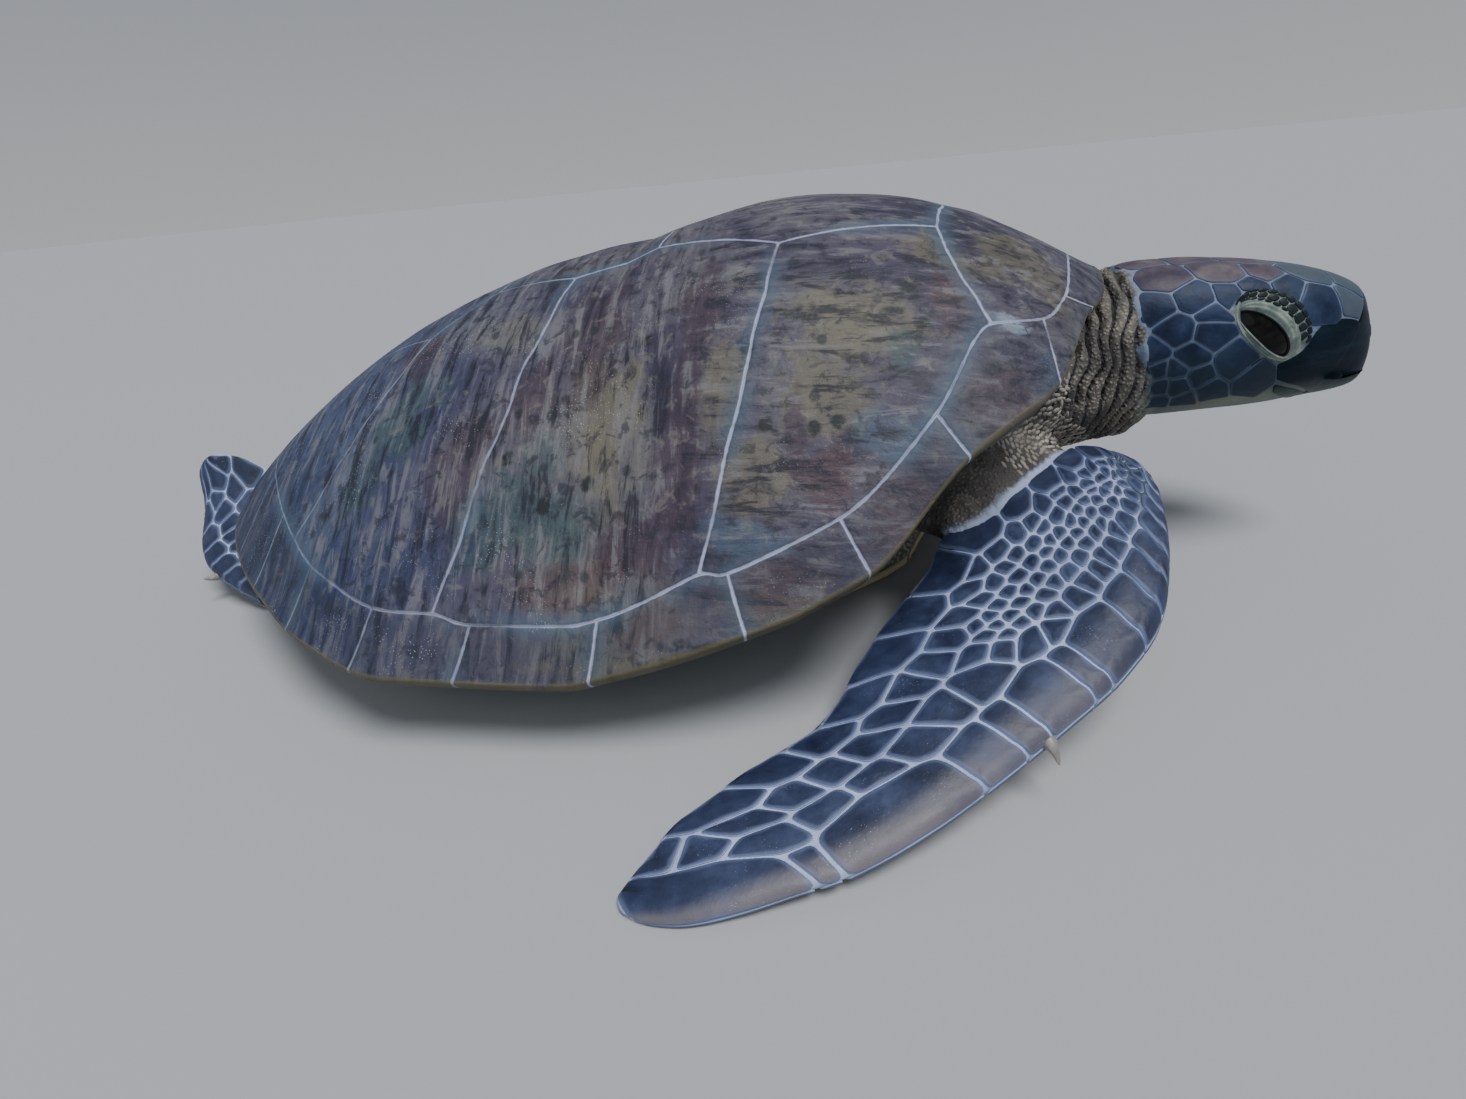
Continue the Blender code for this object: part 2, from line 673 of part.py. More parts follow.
# ---- Limbs ----------------------------------------------------------------------------------------
class Blade:
    """A flipper blade: root and tip points, and a chord that leans and twists along it."""

    def __init__(self, root, tip, lean, twist, sag, table):
        self.root = Vector(root)
        self.axis = Vector(tip) - self.root
        self.length = self.axis.length
        self.axis.normalize()
        self.lean, self.twist, self.sag = lean, twist, sag
        self.lead, self.trail, self.thick, self.blunt = table_curves(table)
        self.stations = [row[0] for row in table]

    def frame(self, u):
        """Chord direction, towards the trailing edge, and upward normal at distance u."""
        level = Vector((0, 0, 1)).cross(self.axis)
        level.normalize()
        if level.y < 0:
            level = -level
        up = self.axis.cross(level)
        if up.z < 0:
            up = -up
        share = min(max(u / self.length, 0), 1)
        angle = math.radians(self.lean + self.twist * share ** TWIST_POWER)
        chord = level * math.cos(angle) + up * math.sin(angle)
        normal = up * math.cos(angle) - level * math.sin(angle)
        return chord, normal

    def point(self, u, c, h):
        chord, normal = self.frame(u)
        drop = self.sag * math.sin(math.pi * min(max(u / self.length, 0), 1))
        return self.root + self.axis * u + chord * c + normal * (h - drop)

    def ring(self, u):
        lead, trail = self.lead(u), self.trail(u)
        thick, blunt = self.thick(u), self.blunt(u)
        upper = (0.0, 0.05, 0.18, 0.40, 0.70, 1.0)
        shape = smooth_curve(upper, (0.0, 0.62, 0.95, 1.0, 0.72 + 0.25 * blunt, 0.16 + 0.64 * blunt))
        top = [self.point(u, lead + (trail - lead) * t, thick * shape(t)) for t in upper]
        low = [self.point(u, lead + (trail - lead) * t, -thick * shape(t)) for t in upper[:0:-1]]
        return top + low


def rise_to_floor(rings, depth=0.0008):
    """The same rings lowered or raised so that the lowest point is pressed flat on the floor."""
    low = min(p.z for ring in rings for p in ring)
    for ring in rings:
        for p in ring:
            p.z = max(p.z - low - depth, 0.0)
    return low + depth


# distance from the root, leading edge, trailing edge, half thickness, bluntness of the trailing edge
FORE_TABLE = (
    (-0.0575, 0.0600, 0.0720, 0.0070, 1.0),
    (-0.0540, 0.0450, 0.0830, 0.0120, 1.0),
    (-0.0450, 0.0300, 0.0860, 0.0150, 1.0),
    (-0.0300, 0.0145, 0.0860, 0.0165, 1.0),
    (-0.0120, -0.0015, 0.0860, 0.0170, 1.0),
    (0.0080, -0.0165, 0.0860, 0.0170, 1.0),
    (0.0280, -0.0292, 0.0860, 0.0165, 1.0),
    (0.0470, -0.0372, 0.0860, 0.0155, 0.9),
    (0.0640, -0.0410, 0.0850, 0.0142, 0.6),
    (0.0820, -0.0437, 0.0765, 0.0130, 0.1),
    (0.1060, -0.0447, 0.0690, 0.0115, 0.0),
    (0.1320, -0.0457, 0.0590, 0.0102, 0.0),
    (0.1560, -0.0463, 0.0475, 0.0091, 0.0),
    (0.1780, -0.0465, 0.0350, 0.0082, 0.0),
    (0.2030, -0.0455, 0.0275, 0.0073, 0.0),
    (0.2280, -0.0425, 0.0275, 0.0064, 0.0),
    (0.2500, -0.0362, 0.0255, 0.0055, 0.0),
    (0.2720, -0.0300, 0.0225, 0.0047, 0.0),
    (0.2900, -0.0230, 0.0155, 0.0039, 0.0),
    (0.3030, -0.0140, 0.0085, 0.0031, 0.0),
    (0.3110, -0.0050, 0.0040, 0.0023, 0.0),
)
HIND_TABLE = (
    (0.0000, -0.0260, 0.0280, 0.0150, 0.8),
    (0.0200, -0.0310, 0.0320, 0.0130, 0.5),
    (0.0450, -0.0360, 0.0360, 0.0105, 0.1),
    (0.0700, -0.0390, 0.0385, 0.0085, 0.0),
    (0.0950, -0.0375, 0.0385, 0.0068, 0.0),
    (0.1180, -0.0310, 0.0345, 0.0052, 0.0),
    (0.1380, -0.0195, 0.0240, 0.0038, 0.0),
    (0.1500, -0.0060, 0.0100, 0.0026, 0.0),
)
FORE_ROOT = (0.3218, -0.1645, 0.0700)
FORE_TIP = (0.0740, -0.3458, 0.0055)
FORE_JOINT_C = 0.0860
FORE_CLAW_U = 0.123
HIND_CLAW_U = 0.050
HIND_ROOT = (-0.2500, -0.1080, 0.0240)
TWIST_POWER = 2.6             # how late along the blade the twist comes in


def mirror_rings(rings, side):
    """The rings themselves on the right, their mirror image on the left."""
    if side == "right":
        return rings
    return [[mirrored(p) for p in ring] for ring in rings]


def fore_blade(side):
    """The left flipper lies a little further forward than the right one."""
    tip = FORE_TIP if side == "right" else (0.0900, -0.3560, 0.0055)
    return Blade(FORE_ROOT, tip, 2.0, 0.0, 0.010, FORE_TABLE)


def hind_blade(side):
    """The right hind flipper is lifted and turned on edge past the shell; the left one lies flat."""
    if side == "right":
        return Blade(HIND_ROOT, (-0.3580, -0.0400, 0.0870), 4.0, 70.0, 0.0120, HIND_TABLE)
    return Blade(HIND_ROOT, (-0.3900, -0.0700, 0.0240), 4.0, 14.0, 0.0, HIND_TABLE)


def oval(centre, along, up, half_length, half_height, sides=16):
    return [centre + along * (half_length * math.cos(2 * math.pi * i / sides))
            + up * (half_height * math.sin(2 * math.pi * i / sides)) for i in range(sides)]


def claw(name, blade, u, sweep, length, radius, drop, side, sides=8):
    """A small horn on the leading edge of a blade: it stands out by length and bends by sweep."""
    chord, _ = blade.frame(u)
    base = blade.point(u, blade.lead(u) - 3 * GAP, 0.0) - Vector((0, 0, drop))
    across = blade.axis
    up = across.cross(chord).normalized()
    rings = []
    for share, size in ((0.0, 1.0), (0.45, 0.72), (0.8, 0.36), (1.0, 0.10)):
        centre = base - chord * length * share + sweep * share * share
        rings.append([centre + across * (radius * size * math.cos(2 * math.pi * i / sides))
                      + up * (radius * size * math.sin(2 * math.pi * i / sides)) for i in range(sides)])
    return loft(name, mirror_rings(rings, side), "claw")


def build_fore_limb(side, envelope, neck_guide):
    blade = fore_blade(side)
    rings = [blade.ring(u) for u in blade.stations]
    dropped = rise_to_floor(rings)
    loft(f"fore_flipper_{side}", mirror_rings(rings, side), "scaled_skin")
    chord, normal = blade.frame(0.0)
    joint = blade.point(0.008, FORE_JOINT_C + GAP, 0.0) - Vector((0, 0, dropped))
    rise = Vector((0, 0, 1))
    arm = [oval(Vector((0.190, -0.050, 0.088)), blade.axis, normal, 0.046, 0.036),
           oval(Vector((0.216, -0.078, 0.088)), blade.axis, normal, 0.054, 0.038),
           oval(joint + chord * 0.020 + rise * 0.009, blade.axis, normal, 0.0570, 0.0320),
           oval(joint + chord * 0.007 + rise * 0.004, blade.axis, normal, 0.0535, 0.0225),
           oval(joint, blade.axis, normal, 0.0495, 0.0158)]
    upper_arm = loft(f"upper_arm_{side}", mirror_rings(arm, side), "skin")
    cut(upper_arm, envelope)
    cut(upper_arm, neck_guide)
    claw(f"fore_claw_{side}", blade, FORE_CLAW_U, Vector((0, 0, -0.0075)), 0.0060, 0.0034, dropped, side)


def build_hind_limb(side, envelope):
    blade = hind_blade(side)
    rings = [blade.ring(u) for u in blade.stations]
    dropped = rise_to_floor(rings)
    flipper = loft(f"hind_flipper_{side}", mirror_rings(rings, side), "scaled_skin")
    cut(flipper, envelope)
    chord, normal = blade.frame(0.0)
    joint = blade.root - blade.axis * GAP - Vector((0, 0, dropped))
    knee = Vector((-0.200, -0.086, 0.044))
    thigh = [oval(Vector((-0.165, -0.065, 0.052)), chord, normal, 0.042, 0.028),
             oval(knee, chord, normal, 0.041, 0.027),
             oval(lerp(knee, joint, 0.55), chord, normal, 0.0350, 0.0205),
             oval(joint, chord, normal, 0.0265, 0.0140)]
    thigh = [[Vector((p.x, p.y, max(p.z, 0.0))) for p in ring] for ring in thigh]
    leg = loft(f"thigh_{side}", mirror_rings(thigh, side), "skin")
    cut(leg, envelope)
    claw(f"hind_claw_{side}", blade, HIND_CLAW_U, blade.axis * 0.004, 0.0085, 0.0026, dropped, side)


def build_tail(envelope):
    stations = ((-0.255, 0.050, 0.024), (-0.290, 0.042, 0.020), (-0.315, 0.035, 0.015),
                (-0.335, 0.029, 0.010), (-0.350, 0.025, 0.0045))
    rings = [oval(Vector((x, 0, z)), Vector((0, 1, 0)), Vector((0, 0, 1)), r, r * 0.85, 12)
             for x, z, r in stations]
    tail = loft("tail", rings, "skin")
    cut(tail, envelope)
    return tail


def main():
    for old in list(bpy.data.objects):
        bpy.data.objects.remove(old, do_unlink=True)
    build_back_plates()
    build_marginals()
    build_nuchal()
    build_trunk()
    build_plastron()
    envelope = build_envelope()
    build_head()
    build_neck(envelope)
    neck_guide = build_neck_guide()
    for side in ("left", "right"):
        build_fore_limb(side, envelope, neck_guide)
        build_hind_limb(side, envelope)
    build_tail(envelope)


main()
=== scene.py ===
import json
import math

import bpy
import bmesh
import numpy as np
from mathutils import Matrix, Vector
from mathutils.kdtree import KDTree

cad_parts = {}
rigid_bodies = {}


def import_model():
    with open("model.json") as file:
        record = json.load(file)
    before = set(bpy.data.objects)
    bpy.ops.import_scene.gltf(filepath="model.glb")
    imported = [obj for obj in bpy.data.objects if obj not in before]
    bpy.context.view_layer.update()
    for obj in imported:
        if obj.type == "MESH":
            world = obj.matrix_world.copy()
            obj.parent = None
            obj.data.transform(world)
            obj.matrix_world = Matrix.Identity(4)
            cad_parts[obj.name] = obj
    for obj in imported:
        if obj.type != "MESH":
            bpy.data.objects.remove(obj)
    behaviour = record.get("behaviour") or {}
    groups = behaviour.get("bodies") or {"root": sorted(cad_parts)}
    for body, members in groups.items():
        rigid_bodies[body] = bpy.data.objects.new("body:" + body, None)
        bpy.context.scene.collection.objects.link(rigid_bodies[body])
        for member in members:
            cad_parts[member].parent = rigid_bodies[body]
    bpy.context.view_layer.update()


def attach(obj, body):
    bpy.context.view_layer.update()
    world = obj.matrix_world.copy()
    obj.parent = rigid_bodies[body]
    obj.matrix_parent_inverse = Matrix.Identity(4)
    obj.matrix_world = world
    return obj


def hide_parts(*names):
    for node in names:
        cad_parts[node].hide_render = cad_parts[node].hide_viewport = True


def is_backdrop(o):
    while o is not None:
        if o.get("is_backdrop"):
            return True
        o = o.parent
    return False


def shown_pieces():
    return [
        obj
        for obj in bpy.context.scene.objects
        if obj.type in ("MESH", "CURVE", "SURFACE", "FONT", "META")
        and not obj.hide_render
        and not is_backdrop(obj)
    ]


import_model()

RNG = np.random.default_rng(11)


# ---- Curves and small maths ------------------------------------------------------------------------
def curve(xs, ys):
    """Monotone cubic through stations, for single numbers or arrays."""
    xs, ys = np.asarray(xs, float), np.asarray(ys, float)
    step = np.diff(xs)
    slope = np.diff(ys) / step
    tangent = np.zeros(len(xs))
    tangent[0], tangent[-1] = slope[0], slope[-1]
    for i in range(1, len(slope)):
        before, after = slope[i - 1], slope[i]
        if before * after > 0:
            wa, wb = 2 * step[i] + step[i - 1], step[i] + 2 * step[i - 1]
            tangent[i] = (wa + wb) / (wa / before + wb / after)

    def value(x):
        x = np.clip(np.asarray(x, float), xs[0], xs[-1])
        i = np.clip(np.searchsorted(xs, x, side="right") - 1, 0, len(step) - 1)
        t = (x - xs[i]) / step[i]
        return ((1 + 2 * t) * (1 - t) ** 2 * ys[i] + t * (1 - t) ** 2 * step[i] * tangent[i]
                + t * t * (3 - 2 * t) * ys[i + 1] + t * t * (t - 1) * step[i] * tangent[i + 1])

    return value


def table_curves(rows):
    columns = list(zip(*rows))
    return [curve(columns[0], column) for column in columns[1:]]


def unit(v):
    return v / np.maximum(np.linalg.norm(v, axis=-1, keepdims=True), 1e-12)


def smoothstep(low, high, x):
    t = np.clip((np.asarray(x, float) - low) / (high - low), 0, 1)
    return t * t * (3 - 2 * t)


def bump_at(x, middle, width):
    """A soft hill, one at its middle and almost nothing at twice the width away."""
    return np.exp(-((np.asarray(x, float) - middle) / width) ** 2)


def waves(points, pitch, seed, octaves=3):
    """Smooth noise between -1 and 1 from a few crossing sine waves."""
    draw = np.random.default_rng(seed)
    total, weight, norm = 0.0, 1.0, 0.0
    for _ in range(octaves):
        for _ in range(4):
            direction = draw.normal(size=points.shape[-1])
            direction *= 2 * math.pi / (pitch * np.linalg.norm(direction)) * draw.uniform(0.75, 1.3)
            total = total + weight * np.sin(points @ direction + draw.uniform(0, 6.283))
        norm += weight * 1.6
        weight *= 0.55
        pitch *= 0.52
    return total / norm


# ---- Making pieces ---------------------------------------------------------------------------------
def piece(name, points, faces, paint, attributes=None, uv=None):
    """An object from points and faces; attributes are named numbers or colours for each point."""
    mesh = bpy.data.meshes.new(name)
    mesh.from_pydata(np.asarray(points).tolist(), [], [list(map(int, f)) for f in faces])
    for key, values in (attributes or {}).items():
        add_attribute(mesh, key, values)
    if uv is not None:
        set_bake_map(mesh, uv)
    mesh.materials.append(paint)
    mesh.shade_smooth()
    return linked(name, mesh)


def linked(name, data):
    made = bpy.data.objects.new(name, data)
    bpy.context.scene.collection.objects.link(made)
    return made


def settle(made, slot, *nodes):
    """The piece rides the still body, in place of the solids it stands for."""
    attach(made, "root")
    if nodes:
        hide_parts(*nodes)


def add_attribute(mesh, key, values):
    values = np.asarray(values, float)
    layer = mesh.attributes.new(key, "FLOAT" if values.ndim == 1 else "FLOAT_VECTOR", "POINT")
    layer.data.foreach_set("value" if values.ndim == 1 else "vector", values.ravel())


def set_bake_map(mesh, uv):
    """The OFBake map from one place for each point."""
    layer = mesh.uv_layers.new(name="OFBake")
    corner = np.empty(len(mesh.loops), dtype=np.int64)
    mesh.loops.foreach_get("vertex_index", corner)
    layer.data.foreach_set("uv", np.asarray(uv, float)[corner].ravel())


def mesh_points(mesh):
    points = np.empty(len(mesh.vertices) * 3)
    mesh.vertices.foreach_get("co", points)
    return points.reshape(-1, 3)


def mesh_normals(mesh):
    normals = np.empty(len(mesh.vertices) * 3)
    mesh.vertex_normals.foreach_get("vector", normals)
    return normals.reshape(-1, 3)


def find_nearest(spots):
    tree = KDTree(len(spots))
    for i, spot in enumerate(spots):
        tree.insert(spot, i)
    tree.balance()
    return tree


def grid_faces(rows, columns, wrap=False):
    """Quads between rows of points; wrap closes each row on itself."""
    faces = []
    last = columns if wrap else columns - 1
    for r in range(rows - 1):
        for c in range(last):
            d = (c + 1) % columns
            faces.append((r * columns + c, r * columns + d, (r + 1) * columns + d, (r + 1) * columns + c))
    return faces


def fan(start, count, middle, turned=False):
    """Triangles from a closed row of points to its middle point."""
    faces = [(start + i, start + (i + 1) % count, middle) for i in range(count)]
    return [(b, a, m) for a, b, m in faces] if turned else faces


def face_outwards(made):
    bm = bmesh.new()
    bm.from_mesh(made.data)
    bmesh.ops.recalc_face_normals(bm, faces=bm.faces)
    bm.to_mesh(made.data)
    bm.free()
    return made


# ---- Paint: a short way to write node trees -----------------------------------------------------------
def fill(tree, socket, value):
    """Wires a socket to another one, or sets its value."""
    if isinstance(value, bpy.types.NodeSocket):
        tree.links.new(value, socket)
    else:
        socket.default_value = (*value[:3], 1) if socket.type == "RGBA" else value


def add_node(tree, kind, inputs=None, **facts):
    node = tree.nodes.new(kind)
    for key, value in facts.items():
        setattr(node, key, value)
    for key, value in (inputs or {}).items():
        fill(tree, node.inputs[key], value)
    return node


def set_stops(ramp, stops):
    while len(ramp.elements) < len(stops):
        ramp.elements.new(0.5)
    for element, (place, colour) in zip(ramp.elements, stops):
        element.position = place
        element.color = (*colour, 1)


class Paint:
    """A material under construction; every method adds a node and returns its output."""

    def __init__(self, name):
        self.material = bpy.data.materials.new(name)
        self.material.use_nodes = True
        self.tree = self.material.node_tree
        self.coordinates = self.add("ShaderNodeTexCoord").outputs["Object"]

    def add(self, kind, inputs=None, **facts):
        return add_node(self.tree, kind, inputs, **facts)

    def stretched(self, scale):
        return self.add("ShaderNodeMapping", {"Vector": self.coordinates, "Scale": scale}).outputs["Vector"]

    def noise(self, scale, detail=4.0, rough=0.55, source=None, warp=0.0):
        facts = {"Vector": source or self.coordinates, "Scale": scale, "Detail": detail,
                 "Roughness": rough, "Distortion": warp}
        return self.add("ShaderNodeTexNoise", facts).outputs["Fac"]

    def cells(self, scale, source=None):
        facts = {"Vector": source or self.coordinates, "Scale": scale}
        return self.add("ShaderNodeTexVoronoi", facts).outputs["Distance"]

    def attribute(self, name):
        return self.add("ShaderNodeAttribute", attribute_name=name).outputs["Fac"]

    def axis(self, index):
        return self.add("ShaderNodeSeparateXYZ", {0: self.coordinates}).outputs[index]

    def remap(self, value, low, high, to_low=0.0, to_high=1.0, smooth=True):
        facts = {"Value": value, "From Min": low, "From Max": high, "To Min": to_low, "To Max": to_high}
        kind = "SMOOTHSTEP" if smooth else "LINEAR"
        return self.add("ShaderNodeMapRange", facts, interpolation_type=kind).outputs["Result"]

    def maths(self, operation, a, b=0.0):
        return self.add("ShaderNodeMath", {0: a, 1: b}, operation=operation).outputs[0]

    def times(self, a, b):
        return self.maths("MULTIPLY", a, b)

    def patch(self, place, reach, source, ragged):
        """A soft-edged spot of that reach round a place; ragged is a noise that breaks up its edge."""
        facts = {"Vector": source, "Location": (-place[0] / reach[0], -place[1] / reach[1], 0),
                 "Scale": (1 / reach[0], 1 / reach[1], 0)}
        spot = self.add("ShaderNodeMapping", facts).outputs["Vector"]
        far = self.add("ShaderNodeVectorMath", {0: spot}, operation="LENGTH").outputs["Value"]
        return self.remap(self.maths("ADD", far, ragged), 1.45, 0.75)

    def mix(self, share, a, b):
        return self.add("ShaderNodeMix", {"Factor": share, "A": a, "B": b},
                        data_type="RGBA").outputs["Result"]

    def ramp(self, value, stops):
        node = self.add("ShaderNodeValToRGB", {"Fac": value})
        set_stops(node.color_ramp, stops)
        return node.outputs["Color"]

    def bump(self, height, depth, below=None):
        facts = {"Strength": 1.0, "Distance": depth, "Height": height}
        if below is not None:
            facts["Normal"] = below
        return self.add("ShaderNodeBump", facts).outputs["Normal"]

    def finish(self, colour, roughness, normal=None, specular=0.5):
        facts = {"Base Color": colour, "Roughness": roughness, "Specular IOR Level": specular}
        if normal is not None:
            facts["Normal"] = normal
        for key, value in facts.items():
            fill(self.tree, self.tree.nodes["Principled BSDF"].inputs[key], value)
        return self.material


# ---- Stage: camera, floor and studio light --------------------------------------------------------
CAMERA_PLACE = Vector((0.1719, -0.5225, 0.2602))
CAMERA_AZIMUTH = math.radians(11.12)
CAMERA_DOWN = math.radians(27.62)
CAMERA_ROLL = math.radians(-5.66)
CAMERA_LENS = 17.64
FLOOR_RADIUS, FLOOR_TINT = 40.0, (0.395, 0.405, 0.422)
HORIZON, ZENITH = (0.435, 0.445, 0.464), (0.29, 0.31, 0.35)


def add_camera():
    turn, down, roll = CAMERA_AZIMUTH, CAMERA_DOWN, CAMERA_ROLL
    back = Vector((math.sin(turn) * math.cos(down), -math.cos(turn) * math.cos(down), math.sin(down)))
    right = (-back).cross(Vector((0, 0, 1))).normalized()
    up = right.cross(-back)
    tilted_right = right * math.cos(roll) + up * math.sin(roll)
    tilted_up = up * math.cos(roll) - right * math.sin(roll)
    data = bpy.data.cameras.new("camera")
    data.lens = CAMERA_LENS
    data.sensor_width = 36.0
    data.clip_start = 0.01
    camera = linked("camera", data)
    axes = Matrix((tilted_right, tilted_up, back)).transposed()
    camera.matrix_world = Matrix.Translation(CAMERA_PLACE) @ axes.to_4x4()
    bpy.context.scene.camera = camera


def lamp(name, kind, place, aim, energy, tint=(1, 1, 1), **facts):
    data = bpy.data.lights.new(name, kind)
    data.energy = energy
    data.color = tint
    for key, value in facts.items():
        setattr(data, key, value)
    made = linked(name, data)
    made.location = place
    made.rotation_euler = (Vector(aim) - Vector(place)).to_track_quat("-Z", "Y").to_euler()


def add_studio():
    """A soft key from over the head, a weak fill from the camera side and a pale sky that meets the floor."""
    lamp("key", "SUN", (0.75, -0.55, 2.3), (0, 0, 0.1), 3.0, angle=math.radians(28))
    lamp("fill", "AREA", (-0.9, -2.2, 1.3), (0, 0, 0.1), 9, (0.9, 0.95, 1.0), shape="DISK", size=2.2)
    world = bpy.data.worlds.new("studio")
    world.use_nodes = True
    tree = world.node_tree
    way = add_node(tree, "ShaderNodeTexCoord").outputs["Generated"]
    height = add_node(tree, "ShaderNodeSeparateXYZ", {0: way}).outputs["Z"]
    sky = add_node(tree, "ShaderNodeValToRGB", {"Fac": height})
    set_stops(sky.color_ramp, ((0.0, HORIZON), (0.30, ZENITH)))
    fill(tree, tree.nodes["Background"].inputs["Color"], sky.outputs["Color"])
    bpy.context.scene.world = world
    bm = bmesh.new()
    bmesh.ops.create_circle(bm, cap_ends=True, segments=96, radius=FLOOR_RADIUS)
    mesh = bpy.data.meshes.new("floor")
    bm.to_mesh(mesh)
    bm.free()
    mesh.materials.append(Paint("floor").finish(FLOOR_TINT, 0.9, specular=0.0))
    linked("floor", mesh)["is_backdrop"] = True


add_camera()
add_studio()


# ---- Carapace: the same surface and seams as the solids -----------------------------------------------
SHELL_LENGTH, SHELL_WIDTH = 0.650, 0.5245
RIM_FRONT, RIM_FLANK, RIM_REAR = 0.1344, 0.0457, 0.0601
DOME_HEIGHT, DOME_PEAK = 0.1788, 0.409
RIM_THICKNESS, UNDERLAP, PLATE = 0.006, 0.045, 0.003
FRONT_EDGE_S, FRONT_ROUNDING = 0.033, 2.3
SHOULDER_X, HIP_X = 0.12, -0.12
WIDTH_STATIONS = (0.0, 0.03, 0.08, 0.15, 0.25, 0.40, 0.50, 0.60, 0.70, 0.80, 0.90, 0.96, 1.0)
WIDTH_SHARES = (0.30, 0.50, 0.70, 0.825, 0.895, 0.985, 1.0, 1.0, 0.905, 0.735, 0.515, 0.33, 0.0)
RING = (
    (0.028, 0.000, -1.000), (0.059, 0.501, -0.010), (0.085, 0.591, 0.077), (0.129, 0.604, 0.112),
    (0.176, 0.768, 0.152), (0.248, 0.886, 0.226), (0.331, 0.910, 0.316), (0.353, 0.900, 0.343),
    (0.432, 0.921, 0.435), (0.537, 0.919, 0.545), (0.571, 0.905, 0.582), (0.628, 0.899, 0.640),
    (0.720, 0.862, 0.735), (0.761, 0.825, 0.778), (0.800, 0.775, 0.818), (0.868, 0.620, 0.885),
    (0.902, 0.480, 0.922), (0.926, 0.340, 0.950), (0.946, 0.000, 1.000),
)
MARGINAL_SEAMS = (1, 2, 4, 5, 6, 8, 9, 11, 12, 14, 15, 17, 18)
CORNER = ((0.165, 0.288), (0.301, 0.352), (0.420, 0.210), (0.500, 0.257),
          (0.595, 0.180), (0.653, 0.326), (0.785, 0.200))
MID = (0.150, 0.415, 0.600, 0.780)
SEAM_PITCH = 0.0032           # spacing of the points along a seam
GROOVE_DEPTH, GROOVE_WIDTH = 0.0005, 0.0011
LAST_PLACE = len(RING) - 1
STRAIGHT_FROM = (15.0, 17.5)  # places between which the marginals' sections turn straight

width_squared = curve(WIDTH_STATIONS, [w * w for w in WIDTH_SHARES])
rim_reach = curve((FRONT_EDGE_S, 0.078, 0.153, 0.225, 0.280), (0.55, 0.77, 0.853, 0.975, 1.0))
inner_s = curve(range(len(RING)), [row[0] for row in RING])
inner_v = curve(range(len(RING)), [row[1] for row in RING])
rim_place = curve(range(len(RING)), [row[2] for row in RING])


def half_width(s):
    return SHELL_WIDTH / 2 * np.sqrt(np.maximum(width_squared(s), 0.0))


def shell_point(sv):
    """The carapace's outer surface at shares of its length and of its half width."""
    s, v = sv[..., 0], sv[..., 1]
    arch = np.maximum(1 - np.abs(v) ** 2.268, 0.0) ** 1.195
    before = np.clip((DOME_PEAK - s) / DOME_PEAK, 0, 1)
    behind = np.clip((s - DOME_PEAK) / (1 - DOME_PEAK), 0, 1)
    profile = 1 - 0.7125 * before ** 2.2 - 0.97 * behind ** 1.9
    front = RIM_FRONT + (RIM_FLANK - RIM_FRONT) * (np.clip(s, 0, 0.45) / 0.45) ** 0.8
    rear = (RIM_REAR - RIM_FLANK) * (np.clip(s - 0.45, 0, 1) / 0.55) ** 1.5
    z = front + rear + DOME_HEIGHT * profile * arch
    return np.stack([SHELL_LENGTH * (0.5 - s), v * half_width(s), z], axis=-1)


def shell_normal(sv):
    step = 0.0015
    along = shell_point(sv + (step, 0)) - shell_point(sv - (step, 0))
    inside = np.clip(sv, None, (1, 0.995))
    across = shell_point(inside + (0, step)) - shell_point(inside - (0, step))
    normal = unit(np.cross(across, along))
    return normal * np.sign(normal[..., 2:3])


def rim_sv(place):
    place = np.asarray(place, float)
    share = np.clip((1 + place) / (1 + FRONT_EDGE_S), 0, 1)
    front_s = FRONT_EDGE_S * share ** FRONT_ROUNDING
    corner = rim_reach(FRONT_EDGE_S) * half_width(FRONT_EDGE_S)
    front_v = share * corner / half_width(front_s)
    ahead = place < FRONT_EDGE_S
    return np.stack([np.where(ahead, front_s, place), np.where(ahead, front_v, rim_reach(place))], axis=-1)


def ring_place(place):
    """The ring at one place: its seam and rim as (s, v) and in space, the core line and the way inwards."""
    seam_sv, edge_sv = np.array([inner_s(place), inner_v(place)]), rim_sv(rim_place(place))
    seam_spot, rim = shell_point(seam_sv), shell_point(edge_sv)
    core = np.array([np.clip(rim[0], HIP_X, SHOULDER_X), 0, 0])
    plan = np.array([1, 1, 0])
    inward = unit(unit((core - rim) * plan) + unit((seam_spot - rim) * plan))
    return seam_sv, edge_sv, seam_spot, rim, core, inward


def spaced(points):
    """Points of a run in (s, v), spaced evenly along the surface."""
    place = shell_point(points)
    reach = np.concatenate([[0], np.cumsum(np.linalg.norm(np.diff(place, axis=0), axis=1))])
    count = max(2, round(reach[-1] / SEAM_PITCH))
    even = np.linspace(0, reach[-1], count + 1)
    return np.stack([np.interp(even, reach, points[:, k]) for k in (0, 1)], axis=1)


def seam(a, b, bow=0.0):
    """A seam between two corners with a slight bow and a little unevenness."""
    t = np.linspace(0, 1, 40)[:, None]
    run = np.asarray(a) * (1 - t) + np.asarray(b) * t
    length = np.linalg.norm(shell_point(np.asarray(b)) - shell_point(np.asarray(a)))
    ends = np.sin(np.pi * t[:, 0]) ** 0.5
    sway = 0.0016 * waves(run * (0.65, 0.26), 0.05, 5)
    run[:, 0] += 4 * bow * (t * (1 - t))[:, 0] + sway * ends * min(length / 0.1, 1)
    return spaced(run)


def ring_run(first, last):
    place = np.linspace(first, last, 40)
    return spaced(np.stack([inner_s(place), inner_v(place)], axis=1))


